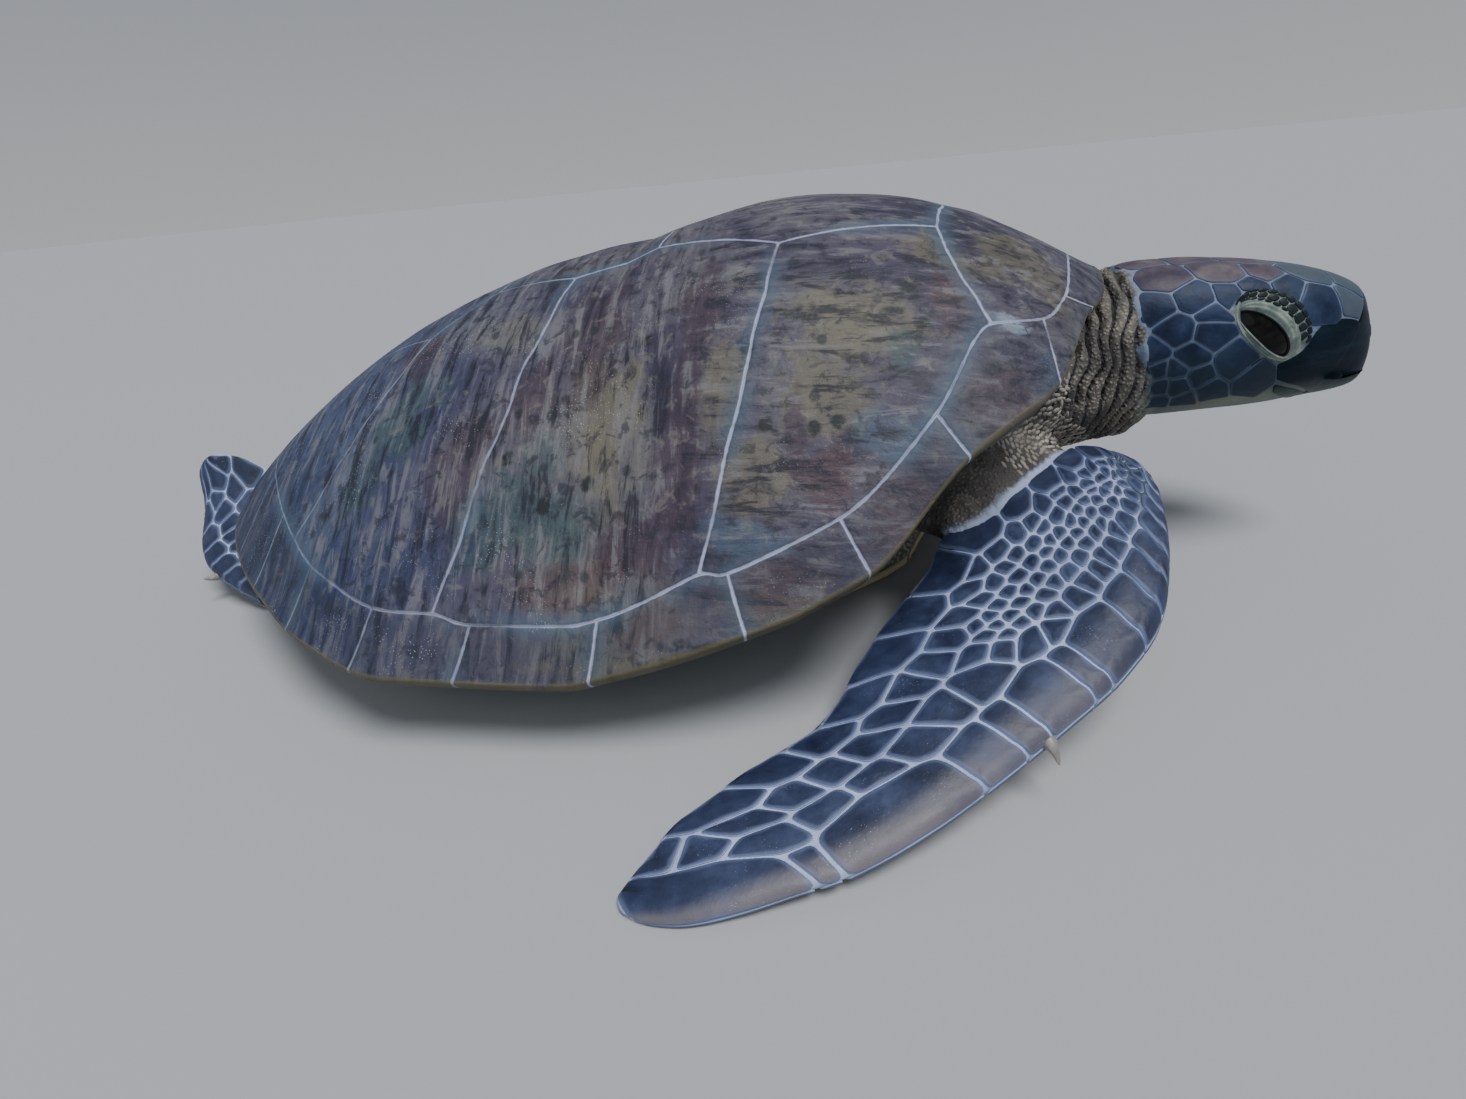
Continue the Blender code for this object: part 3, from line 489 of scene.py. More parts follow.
def joined(*runs):
    """Runs of (s, v) points one after the other, without doubled points."""
    points = [runs[0][0]]
    for run in runs:
        for p in run:
            if np.abs(p - points[-1]).sum() > 1e-6:
                points.append(p)
    if np.abs(points[0] - points[-1]).sum() < 1e-6:
        points.pop()
    return np.array(points)


def vertebral_outline(number):
    key, rear_key = RING[3][:2], RING[16][:2]
    if number == 1:
        half = [ring_run(0, 3), seam(key, CORNER[0], 0.006), seam(CORNER[0], (MID[0], 0))]
    else:
        front = (MID[number - 2], 0)
        first = CORNER[2 * (number - 2)]
        half = [seam(first, front)[::-1]]
        if number == 5:
            half += [seam(first, rear_key), ring_run(16, 18)]
        else:
            middle, last = CORNER[2 * number - 3], CORNER[2 * number - 2]
            half += [seam(first, middle), seam(middle, last), seam(last, (MID[number - 1], 0))]
    left = joined(*half)
    right = (left * (1, -1))[::-1]
    return joined(left, right)


def costal_outline(number):
    keys = (3, 7, 10, 13, 16)
    front_end, rear_end = RING[keys[number - 1]][:2], RING[keys[number]][:2]
    upper = [CORNER[i] for i in ((0, 1), (1, 2, 3), (3, 4, 5), (5, 6))[number - 1]]
    bow = (0.006, -0.006, -0.008, -0.008, 0.0)
    if number == 1:
        run = [seam(front_end, upper[0], bow[0])]
    else:
        run = [seam(upper[0], front_end, bow[number - 1])[::-1]]
    run += [seam(a, b) for a, b in zip(upper, upper[1:])]
    run += [seam(upper[-1], rear_end, bow[number] if number < 4 else 0.0)]
    run += [ring_run(keys[number], keys[number - 1])]
    return joined(*run)


def edge_distance(points, outline):
    """Distance from each point to the nearest stretch of a closed outline, in space."""
    starts, ends = outline, np.roll(outline, -1, axis=0)
    best = np.full(len(points), 1.0)
    for a, b in zip(starts, ends):
        along = b - a
        t = np.clip((points - a) @ along / max(along @ along, 1e-12), 0, 1)
        best = np.minimum(best, np.linalg.norm(points - a - t[:, None] * along, axis=1))
    return best


def uneven(points, edge):
    """How far the horn stands off the ideal surface: soft lows and highs, and a groove at its seam."""
    soft = 0.0007 * waves(points, 0.085, 3, 3) * smoothstep(0, 0.02, edge)
    return soft - GROOVE_DEPTH * np.exp(-(edge / GROOVE_WIDTH) ** 2)


SEAM_STEPS = (0.0, 0.0005, 0.0010, 0.0016, 0.0025, 0.004, 0.0065)
PLATE_RINGS = 22


def shell_plate(name, outline):
    """A closed horny plate: rings of points from its seam to its middle, walls and an underside."""
    count = len(outline)
    middle = outline.mean(axis=0)
    reach = np.linalg.norm(shell_point(outline) - shell_point(middle), axis=1)[:, None]
    rings = [outline + (middle - outline) * depth / reach for depth in SEAM_STEPS]
    start = rings[-1]
    rings += [start + (middle - start) * (k / PLATE_RINGS) ** 0.9 for k in range(1, PLATE_RINGS)]
    sv = np.concatenate(rings + [middle[None]])
    points = shell_point(sv)
    edge = edge_distance(points, shell_point(outline))
    points = points + shell_normal(sv) * uneven(points, edge)[:, None]
    total = len(points)
    under = shell_point(outline) - shell_normal(outline) * PLATE
    centre = shell_point(middle) - (0, 0, PLATE * 1.5)
    faces = grid_faces(len(rings), count, wrap=True)
    faces += fan((len(rings) - 1) * count, count, total - 1)
    faces += [(total + i, total + (i + 1) % count, (i + 1) % count, i) for i in range(count)]
    faces += fan(total, count, total + count, turned=True)
    points = np.concatenate([points, under, centre[None]])
    edge = np.concatenate([edge, np.zeros(count + 1)])
    made = piece(name, points, faces, SHELL_PAINT, {"edge": edge, "rim": np.zeros(len(points))})
    settle(face_outwards(made), "carapace", name)


# Across a marginal plate: shares from the inner seam to the rim, then the rounded lip and the underside.
ACROSS = (0.0, 0.012, 0.028, 0.05, 0.08, 0.13, 0.2, 0.28, 0.36, 0.45, 0.54, 0.63, 0.72, 0.80, 0.87, 0.93)
LIP = (0.0, 0.12, 0.25, 0.4, 0.55, 0.7, 0.85, 1.0)


def marginal_section(place, side):
    """Closed outline of the ring at one place, with each point's share across for the paint."""
    seam_sv, edge_sv, seam_spot, rim, _, inward = ring_place(place)
    share = np.array(ACROSS)[:, None]
    sv = seam_sv * (1 - share) + edge_sv * share
    spots = seam_spot * (1 - share) + rim * share
    s = np.minimum(0.5 - spots[:, 0] / SHELL_LENGTH, 0.9999)
    straight = np.stack([s, np.minimum(spots[:, 1] / half_width(s), 1)], 1)
    sv += (straight - sv) * smoothstep(*STRAIGHT_FROM, place)
    top = shell_point(sv)
    low = rim + inward * 0.0045 - (0, 0, RIM_THICKNESS + 0.0006)
    bow = rim - inward * 0.0012 - (0, 0, 0.0012)
    t = np.array(LIP)[1:, None]
    lip = top[-1] * (1 - t) ** 2 + bow * 2 * t * (1 - t) + low * t * t
    under = rim + inward * UNDERLAP
    under[2] = rim[2] - RIM_THICKNESS - 0.011
    t = np.array((0.25, 0.5, 0.75, 1.0))[:, None]
    below = low * (1 - t) + under * t - np.array([0, 0, 0.0035]) * (t * (1 - t)) * 2
    ledge = top[0] - np.array([0, 0, PLATE])
    across = np.concatenate([np.array(ACROSS), 1 + 0.2 * np.array(LIP)[1:], [1.3, 1.4, 1.5, 1.6, 1.7]])
    points = np.concatenate([top, lip, below, ledge[None]])
    mirror = (1, side, 1)
    return points * mirror, shell_normal(sv) * mirror, across


def marginal_plate(name, places, sides):
    sections = [marginal_section(abs(p), s) for p, s in zip(places, sides)]
    count = len(sections[0][0])
    points = np.array([section[0] for section in sections])
    across = sections[0][2]
    reach = np.linalg.norm(points - points[:, :1], axis=2)
    ends = np.min([np.linalg.norm(points - end, axis=2) for end in (points[:1], points[-1:])], axis=0)
    from_seam = np.where(across[None] <= 1.1, reach, 1.0)
    edge = np.minimum(from_seam, ends)
    normals = np.array([section[1] for section in sections])
    tops = len(ACROSS)
    flat = points[:, :tops].reshape(-1, 3)
    lift = uneven(flat, edge[:, :tops].ravel()).reshape(len(sections), tops, 1)
    points[:, :tops] += normals * lift
    faces = grid_faces(len(sections), count, wrap=True)
    total = len(sections) * count
    caps = np.stack([points[0].mean(axis=0), points[-1].mean(axis=0)])
    faces += fan(0, count, total) + fan(total - count, count, total + 1)
    flat = np.concatenate([points.reshape(-1, 3), caps])
    edge = np.concatenate([edge.ravel(), [0, 0]])
    rim = np.concatenate([np.tile(across, len(sections)), [1.5, 1.5]])
    made = piece(name, flat, faces, SHELL_PAINT, {"edge": edge, "rim": rim})
    settle(face_outwards(made), "carapace", name)


def plate_places(first, last):
    rims = shell_point(rim_sv(rim_place(np.linspace(first, last, 30))))
    length = np.linalg.norm(np.diff(rims, axis=0), axis=1).sum()
    even = np.linspace(first, last, max(8, round(length / 0.0028)))
    ends = np.array([0.0, 0.0006, 0.0012, 0.002]) / length * (last - first)
    return np.unique(np.concatenate([first + ends, even, last - ends]))


def build_shell():
    for n in range(1, 6):
        shell_plate(f"vertebral_{n}", vertebral_outline(n))
    for n in range(1, 5):
        outline = costal_outline(n)
        shell_plate(f"costal_left_{n}", outline)
        shell_plate(f"costal_right_{n}", outline * (1, -1))
    for side, sign in (("left", 1), ("right", -1)):
        for n, (a, b) in enumerate(zip(MARGINAL_SEAMS, MARGINAL_SEAMS[1:]), 1):
            places = plate_places(a, b)
            marginal_plate(f"marginal_{side}_{n}", places, [sign] * len(places))
    half = plate_places(0, 1)
    places = np.concatenate([half[:0:-1], half])
    marginal_plate("nuchal", places, [1] * (len(half) - 1) + [-1] * len(half))


# Markings of the horn: colour, strength and (place along, place across, reach along, reach across).
OLIVE, TEAL, RUST = (0.150, 0.138, 0.082), (0.036, 0.074, 0.080), (0.085, 0.042, 0.038)
NAVY, BROWN, BLUE = (0.022, 0.034, 0.085), (0.048, 0.028, 0.042), (0.060, 0.110, 0.165)
PALE, DARK = (0.30, 0.38, 0.50), (0.012, 0.016, 0.018)
SHELL_MARKS = (
    (OLIVE, 0.50, ((0.045, 0.172, 0.017, 0.024), (0.172, 0.136, 0.030, 0.018), (0.155, 0.166, 0.018, 0.014),
                   (0.122, 0.196, 0.014, 0.012), (0.262, 0.072, 0.022, 0.024), (0.104, 0.160, 0.011, 0.020),
                   (0.152, 0.238, 0.030, 0.006), (0.214, 0.088, 0.018, 0.012), (0.030, 0.146, 0.010, 0.012),
                   (0.070, 0.256, 0.060, 0.003))),
    (TEAL, 0.60, ((-0.012, 0.204, 0.024, 0.016), (0.022, 0.208, 0.014, 0.014), (-0.090, 0.146, 0.020, 0.022),
                  (-0.112, 0.172, 0.014, 0.012), (0.006, 0.180, 0.010, 0.010), (0.196, 0.148, 0.008, 0.008))),
    (BROWN, 0.62, ((0.026, 0.124, 0.016, 0.030), (-0.004, 0.154, 0.014, 0.020), (-0.040, 0.182, 0.015, 0.020),
                   (0.088, 0.130, 0.010, 0.032), (0.079, 0.192, 0.012, 0.028), (0.142, 0.181, 0.005, 0.016),
                   (0.062, 0.218, 0.018, 0.008), (-0.090, 0.108, 0.012, 0.014))),
    (RUST, 0.50, ((0.158, 0.196, 0.013, 0.010), (0.194, 0.204, 0.020, 0.011), (0.130, 0.230, 0.026, 0.008),
                  (0.243, 0.160, 0.016, 0.014), (0.032, 0.228, 0.022, 0.008), (0.216, 0.118, 0.010, 0.012),
                  (-0.106, 0.092, 0.012, 0.014), (0.070, 0.244, 0.016, 0.006))),
    (NAVY, 0.55, ((-0.066, 0.220, 0.026, 0.012), (-0.200, 0.150, 0.050, 0.040), (-0.140, 0.210, 0.030,
                                                                                 0.014))),
    (BLUE, 0.42, ((0.188, 0.180, 0.015, 0.007), (0.118, 0.216, 0.018, 0.005), (0.270, 0.142, 0.006, 0.016))),
    (PALE, 0.60, ((0.251, 0.123, 0.010, 0.005),)),
    (DARK, 0.90, ((0.127, 0.178, 0.0032, 0.0028), (0.198, 0.116, 0.0040, 0.0030),
                  (0.151, 0.179, 0.0030, 0.0026), (0.163, 0.176, 0.0034, 0.0026),
                  (0.058, 0.135, 0.0048, 0.0030), (-0.014, 0.181, 0.0036, 0.0030),
                  (0.187, 0.098, 0.0030, 0.0024), (0.116, 0.148, 0.0034, 0.0026),
                  (0.034, 0.192, 0.0034, 0.0026), (0.205, 0.134, 0.0040, 0.0026),
                  (0.010, 0.200, 0.0030, 0.0030))),
)


def shell_paint():
    """Mauve-grey horn, mottled and streaked, blue towards the tail, with the markings set out above."""
    p = Paint("carapace horn")
    x, y = p.axis(0), p.axis(1)
    flat = p.add("ShaderNodeCombineXYZ", {0: x, 1: p.maths("ABSOLUTE", y)}).outputs[0]
    broad = p.noise(11.0, 5, 0.6, None, 0.6)
    along = p.noise(1.0, 6, 0.68, p.stretched((26, 120, 120)), 0.5)
    across = p.noise(1.0, 6, 0.66, p.stretched((150, 22, 22)), 0.5)
    rear = p.remap(p.maths("ADD", x, p.times(broad, 0.12)), 0.085, -0.130)
    colour = p.ramp(broad, ((0.34, (0.030, 0.026, 0.050)), (0.45, (0.060, 0.052, 0.084)),
                            (0.56, (0.086, 0.080, 0.102)), (0.66, (0.125, 0.120, 0.118))))
    blue = p.ramp(broad, ((0.32, (0.024, 0.036, 0.088)), (0.50, (0.042, 0.060, 0.130)),
                          (0.68, (0.068, 0.096, 0.165))))
    colour = p.mix(rear, colour, blue)
    ragged = p.times(p.maths("SUBTRACT", p.noise(36.0, 7, 0.72, None, 0.6), 0.5), 4.2)
    crisp = p.times(p.maths("SUBTRACT", p.noise(120.0, 4, 0.6), 0.5), 1.2)
    for tint, strength, places in SHELL_MARKS:
        total = None
        for place_x, place_y, reach_x, reach_y in places:
            edge = crisp if reach_x < 0.006 else ragged
            spot = p.patch((place_x, place_y), (reach_x, reach_y), flat, edge)
            total = spot if total is None else p.maths("MAXIMUM", total, spot)
        colour = p.mix(p.times(total, strength), colour, tint)
    streak = p.mix(p.remap(x, 0.06, 0.12), across, along)
    colour = p.mix(p.remap(streak, 0.51, 0.64, 0.0, 0.60), colour, (0.178, 0.176, 0.190))
    colour = p.mix(p.remap(streak, 0.49, 0.37, 0.0, 0.85), colour, (0.014, 0.015, 0.026))
    mottle = p.noise(95.0, 5, 0.7, None, 0.5)
    colour = p.mix(p.remap(mottle, 0.47, 0.36, 0.0, 0.65), colour, (0.016, 0.017, 0.028))
    colour = p.mix(p.remap(mottle, 0.56, 0.68, 0.0, 0.40), colour, (0.190, 0.180, 0.160))
    fleck = p.remap(p.cells(70.0, p.stretched((1, 0.5, 1))), 0.24, 0.12)
    fleck = p.times(fleck, p.remap(broad, 0.48, 0.58))
    colour = p.mix(p.times(fleck, 0.7), colour, (0.018, 0.022, 0.028))
    edge = p.attribute("edge")
    halo = p.times(p.remap(edge, 0.012, 0.0), p.remap(p.noise(16.0, 4), 0.42, 0.60))
    colour = p.mix(p.times(halo, 0.65), colour, (0.060, 0.100, 0.150))
    rim = p.attribute("rim")
    colour = p.mix(p.remap(rim, 0.02, 0.25, 0.0, 0.38), colour, (0.022, 0.027, 0.045))
    lip = p.times(p.remap(rim, 0.90, 1.05), p.remap(p.noise(30.0, 3), 0.2, 0.5))
    colour = p.mix(p.times(lip, 0.75), colour, (0.115, 0.104, 0.056))
    colour = p.mix(p.remap(rim, 1.16, 1.3), colour, (0.30, 0.275, 0.19))
    wander = p.noise(160.0, 2)
    line = p.remap(p.maths("ADD", edge, p.times(wander, 0.0012)), 0.0018, 0.0008)
    strength = p.times(p.remap(p.noise(22.0, 3), 0.30, 0.50, 0.35, 1.0), p.remap(x, -0.14, 0.10, 0.35, 0.95))
    colour = p.mix(p.times(line, strength), colour, (0.40, 0.43, 0.60))
    sand = p.times(p.remap(p.cells(620.0), 0.20, 0.09),
                   p.times(p.remap(p.noise(20.0, 5, 0.7), 0.50, 0.66), p.remap(x, 0.20, -0.02, 0.25, 1.0)))
    colour = p.mix(sand, colour, (0.50, 0.52, 0.60))
    rough = p.remap(p.noise(40.0, 5), 0.3, 0.7, 0.46, 0.68, False)
    normal = p.bump(streak, 0.0006, p.bump(p.noise(160.0, 4, 0.6), 0.0007))
    return p.finish(colour, rough, normal, specular=0.26)


SHELL_PAINT = shell_paint()
build_shell()


# ---- Limbs: blades, as in the solids but finely sampled ----------------------------------------------
# distance from the root, leading edge, trailing edge, half thickness, bluntness of the trailing edge
FORE_TABLE = (
    (-0.0575, 0.0600, 0.0720, 0.0070, 1.0), (-0.0540, 0.0450, 0.0830, 0.0120, 1.0),
    (-0.0450, 0.0300, 0.0860, 0.0150, 1.0), (-0.0300, 0.0145, 0.0860, 0.0165, 1.0),
    (-0.0120, -0.0015, 0.0860, 0.0170, 1.0), (0.0080, -0.0165, 0.0860, 0.0170, 1.0),
    (0.0280, -0.0292, 0.0860, 0.0165, 1.0), (0.0470, -0.0372, 0.0860, 0.0155, 0.9),
    (0.0640, -0.0410, 0.0850, 0.0142, 0.6), (0.0820, -0.0437, 0.0765, 0.0130, 0.1),
    (0.1060, -0.0447, 0.0690, 0.0115, 0.0), (0.1320, -0.0457, 0.0590, 0.0102, 0.0),
    (0.1560, -0.0463, 0.0475, 0.0091, 0.0), (0.1780, -0.0465, 0.0350, 0.0082, 0.0),
    (0.2030, -0.0455, 0.0275, 0.0073, 0.0), (0.2280, -0.0425, 0.0275, 0.0064, 0.0),
    (0.2500, -0.0362, 0.0255, 0.0055, 0.0), (0.2720, -0.0300, 0.0225, 0.0047, 0.0),
    (0.2900, -0.0230, 0.0155, 0.0039, 0.0), (0.3030, -0.0140, 0.0085, 0.0031, 0.0),
    (0.3110, -0.0050, 0.0040, 0.0023, 0.0),
)
HIND_TABLE = (
    (0.0000, -0.0260, 0.0280, 0.0150, 0.8), (0.0200, -0.0310, 0.0320, 0.0130, 0.5),
    (0.0450, -0.0360, 0.0360, 0.0105, 0.1), (0.0700, -0.0390, 0.0385, 0.0085, 0.0),
    (0.0950, -0.0375, 0.0385, 0.0068, 0.0), (0.1180, -0.0310, 0.0345, 0.0052, 0.0),
    (0.1380, -0.0195, 0.0240, 0.0038, 0.0), (0.1500, -0.0060, 0.0100, 0.0026, 0.0),
)
FORE_ROOT, HIND_ROOT = (0.3218, -0.1645, 0.0700), (-0.2500, -0.1080, 0.0240)
FORE_JOINT_C, FORE_CLAW_U, HIND_CLAW_U = 0.0860, 0.123, 0.050
TWIST_POWER, FLOOR_PRESS, GAP = 2.6, 0.0008, 0.0003
SECTION_SHARES = (0.0, 0.05, 0.18, 0.40, 0.70, 1.0)
OVAL_SIDES = 40               # points round a limb's section


class FlatMap:
    """Finds the turn round a body at a distance measured over its skin, row by row along it."""

    def __init__(self, along, turns, spots):
        step = np.linalg.norm(np.diff(spots, axis=1), axis=2)
        self.along, self.turns = along, turns
        self.reach = np.concatenate([np.zeros((len(along), 1)), np.cumsum(step, axis=1)], axis=1)

    def turn(self, x, away):
        last = len(self.along) - 1
        row = np.clip((x - self.along[0]) / (self.along[-1] - self.along[0]) * last, 0, last - 0.001)
        low = row.astype(int)
        part = (row - low)[:, None]
        reach = self.reach[low] * (1 - part) + self.reach[low + 1] * part
        return np.array([np.interp(abs(a), r, self.turns) for a, r in zip(away, reach)])


def lie(surface, q):
    """Unit normals, of either sign, of a skin at its flat addresses."""
    step = 0.0006
    along = surface(q + (step, 0)) - surface(q - (step, 0))
    across = surface(q + (0, step)) - surface(q - (0, step))
    return unit(np.cross(along, across))


class Blade:
    """A flipper; its skin is addressed by u along it and the distance a from the leading edge,
    measured over the skin, positive on top and negative underneath."""

    def __init__(self, root, tip, lean, twist, sag, table, mirror):
        self.root, self.mirror = np.array(root), mirror
        self.axis = np.array(tip) - self.root
        self.length = np.linalg.norm(self.axis)
        self.axis /= self.length
        self.lean, self.twist, self.sag = lean, twist, sag
        self.lead, self.trail, self.thick, self.blunt = table_curves(table)
        self.level = unit(np.cross((0, 0, 1), self.axis))
        self.level *= math.copysign(1, self.level[1])
        self.up = np.cross(self.axis, self.level)
        self.up *= math.copysign(1, self.up[2])
        stations = np.array([row[0] for row in table])
        u, t = np.meshgrid(stations, SECTION_SHARES, indexing="ij")
        self.drop = 0.0
        self.drop = self.raw(u, t, -1.0)[..., 2].min() + FLOOR_PRESS
        self.first, self.last = stations[0], stations[-1]
        grid_u, grid_t = np.linspace(self.first, self.last, 140), np.linspace(0, 1, 120) ** 1.8
        u, t = np.meshgrid(grid_u, grid_t, indexing="ij")
        self.map = FlatMap(grid_u, grid_t, np.stack([self.chord_at(u, t), self.half(u, t)], axis=-1))

    def half(self, u, t):
        """Half the thickness at a share t of the chord."""
        blunt = self.blunt(u)
        values = (0.0, 0.62, 0.95, 1.0, 0.72 + 0.25 * blunt, 0.16 + 0.64 * blunt)
        root = np.sqrt(np.clip(t, 0, 1))
        weights = (curve(np.sqrt(SECTION_SHARES), row)(root) for row in np.eye(len(values)))
        return self.thick(u) * sum(weight * value for weight, value in zip(weights, values))

    def frame(self, u):
        angle = np.radians(self.lean + self.twist * np.clip(u / self.length, 0, 1) ** TWIST_POWER)
        c, s = np.cos(angle)[..., None], np.sin(angle)[..., None]
        return self.level * c + self.up * s, self.up * c - self.level * s

    def place(self, u, c, h):
        chord, normal = self.frame(u)
        sag = self.sag * np.sin(np.pi * np.clip(u / self.length, 0, 1))
        spot = self.root + self.axis * u[..., None] + chord * c[..., None] + normal * (h - sag)[..., None]
        spot[..., 2] -= self.drop
        return spot

    def chord_at(self, u, t):
        return self.lead(u) + (self.trail(u) - self.lead(u)) * t

    def raw(self, u, t, face):
        return self.place(u, self.chord_at(u, t), face * self.half(u, t))

    def width(self, u):
        return np.interp(u, self.map.along, self.map.reach[:, -1])

    def surface(self, q):
        """Skin points at (u, a)."""
        u = np.clip(q[:, 0], self.first, self.last)
        return self.raw(u, self.map.turn(u, q[:, 1]), np.where(q[:, 1] < 0, -1.0, 1.0))

    def lifted(self, q, height):
        """Points standing off the skin by a height, on or over the floor."""
        step, height = 0.0006, np.asarray(height)
        limit = np.maximum(self.width(q[:, 0]) - 0.0012, 0.001)
        inside = q.copy()
        inside[:, 0] = np.clip(inside[:, 0], self.first + step, self.last - step)
        inside[:, 1] = np.clip(inside[:, 1], -limit, limit)
        normal = lie(self.surface, inside)
        _, up = self.frame(q[:, 0])
        facing = np.sign(np.einsum("ij,ij->i", normal, up)) * np.where(q[:, 1] < 0, -1, 1)
        normal = normal * np.where(np.abs(q[:, 1]) < 0.004, np.median(facing), facing)[:, None]
        points = self.surface(q) + normal * height[:, None]
        points[:, 2] = np.maximum(points[:, 2], np.clip(0.0001 - height, 0.0, 0.0004))
        return points * (1, self.mirror, 1)


def make_blades():
    blades = {}
    for side, sign in (("right", 1), ("left", -1)):
        tip = (0.0740, -0.3458, 0.0055) if side == "right" else (0.0900, -0.3560, 0.0055)
        blades["fore_" + side] = Blade(FORE_ROOT, tip, 2.0, 0.0, 0.010, FORE_TABLE, sign)
    blades["hind_right"] = Blade(HIND_ROOT, (-0.3580, -0.0400, 0.0870), 4.0, 70.0, 0.0120, HIND_TABLE, 1)
    blades["hind_left"] = Blade(HIND_ROOT, (-0.3900, -0.0700, 0.0240), 4.0, 14.0, 0.0, HIND_TABLE, -1)
    return blades


# ---- Head and neck ---------------------------------------------------------------------------------
# x on the axis, top, underside, half width, lean of the section
HEAD_TABLE = (
    (0.3500, 0.1845, 0.0890, 0.0455, -0.25), (0.3620, 0.1865, 0.0900, 0.0470, -0.20),
    (0.3800, 0.1868, 0.0915, 0.0480, -0.12), (0.4000, 0.1852, 0.0930, 0.0468, -0.05),
    (0.4200, 0.1822, 0.0940, 0.0432, 0.04), (0.4400, 0.1775, 0.0955, 0.0375, 0.14),
    (0.4540, 0.1715, 0.0970, 0.0320, 0.24), (0.4640, 0.1650, 0.0985, 0.0272, 0.30),
    (0.4740, 0.1555, 0.1003, 0.0214, 0.22), (0.4830, 0.1440, 0.1028, 0.0150, 0.12),
    (0.4890, 0.1320, 0.1060, 0.0085, 0.04), (0.4915, 0.1240, 0.1090, 0.0040, 0.0),
)
NECK_TABLE = (
    (0.2150, 0.1500, 0.0680, 0.0760, 0.0), (0.2600, 0.1580, 0.0670, 0.0770, -0.05),
    (0.2900, 0.1650, 0.0710, 0.0680, -0.10), (0.3150, 0.1720, 0.0750, 0.0580, -0.15),
    (0.3380, 0.1790, 0.0790, 0.0520, -0.22),
)
BEAK_X, MOUTH_Z, NAPE_X, YAW_SHIFT, SECTION_POWER = 0.4640, 0.1140, 0.350, -0.030, 2.35
EYE_CENTRE = (0.4175, 0.0300, 0.1470)
HEAD_END = 0.4915
head_top, head_low, head_half, head_lean = table_curves(NECK_TABLE + HEAD_TABLE)


def head_raw(x, angle):
    """Head and neck skin; the angle runs from the left side over the top."""
    power = 2 / SECTION_POWER
    top, low = head_top(x), head_low(x)
    across = np.sign(np.cos(angle)) * np.abs(np.cos(angle)) ** power * head_half(x)
    rise = np.sign(np.sin(angle)) * np.abs(np.sin(angle)) ** power * (top - low) / 2
    px = x + head_lean(x) * rise
    return np.stack([px, across + YAW_SHIFT * np.maximum(px - NAPE_X, 0), (top + low) / 2 + rise], -1)


class HeadSkin:
    """The head's skin by x along it and the distance a from the top midline, positive to the left."""

    def __init__(self):
        xs, turns = np.linspace(0.20, HEAD_END, 180), np.linspace(0, math.pi, 220)
        x, turn = np.meshgrid(xs, turns, indexing="ij")
        self.map = FlatMap(xs, turns, head_raw(x, math.pi / 2 - turn))

    def surface(self, q):
        return head_raw(q[:, 0], math.pi / 2 - np.sign(q[:, 1]) * self.map.turn(q[:, 0], q[:, 1]))

    def lifted(self, q, height):
        """Points standing off the skin by a height, away from the head's middle."""
        normal, spot = lie(self.surface, q), self.surface(q)
        out = (spot - (0, 0, 0.135)) * (0, 1, 1)
        normal *= np.sign(np.einsum("ij,ij->i", normal, out))[:, None]
        return spot + normal * np.asarray(height)[:, None]


HEAD = HeadSkin()
BLADES = make_blades()

# The eye's opening and the lids around it, on the head's skin: centre, direction of its long axis.
LID_SLANT = unit(np.array([0.845, 0.535]))
OPENING_CENTRE, OPENING_HALF = np.array([0.4098, 0.0620]), (0.0208, 0.0061)
LID_CENTRE, LID_HALF = np.array([0.4153, 0.0580]), (0.0226, 0.0172)


def lid_point(phi, share):
    """A place on the head's skin between the eye's opening (0) and the lids' outer border (1)."""
    across = np.array([-LID_SLANT[1], LID_SLANT[0]])
    c, s = np.cos(phi), np.sin(phi)
    pointed = np.abs(s) ** 1.25 * np.sign(s)
    inner = (OPENING_CENTRE + (OPENING_HALF[0] * c)[:, None] * LID_SLANT
             + (OPENING_HALF[1] * pointed)[:, None] * across)
    outer = (LID_CENTRE + (LID_HALF[0] * c)[:, None] * LID_SLANT + (LID_HALF[1] * s)[:, None] * across)
    return inner + (outer - inner) * np.asarray(share)[:, None]


EYE_LONG, EYE_OUT, EYE_HIGH = 0.0240, 0.0165, 0.0160      # half axes of the visible eyeball
EYE_TILT = math.radians(40)                              # slope of its long axis, down towards the beak
EYE_SET_BACK = 0.0050


def eye_centre(side):
    x, y, z = EYE_CENTRE
    return np.array([x - EYE_SET_BACK, side * y + YAW_SHIFT * (x - NAPE_X), z])


def eye_reach(ray):
    """Distance from the eyeball's centre to its surface along unit directions."""
    along = ray @ np.array([math.cos(EYE_TILT), 0, -math.sin(EYE_TILT)]) / EYE_LONG
    high = ray @ np.array([math.sin(EYE_TILT), 0, math.cos(EYE_TILT)]) / EYE_HIGH
    return 1 / np.sqrt(along ** 2 + high ** 2 + (ray[:, 1] / EYE_OUT) ** 2)


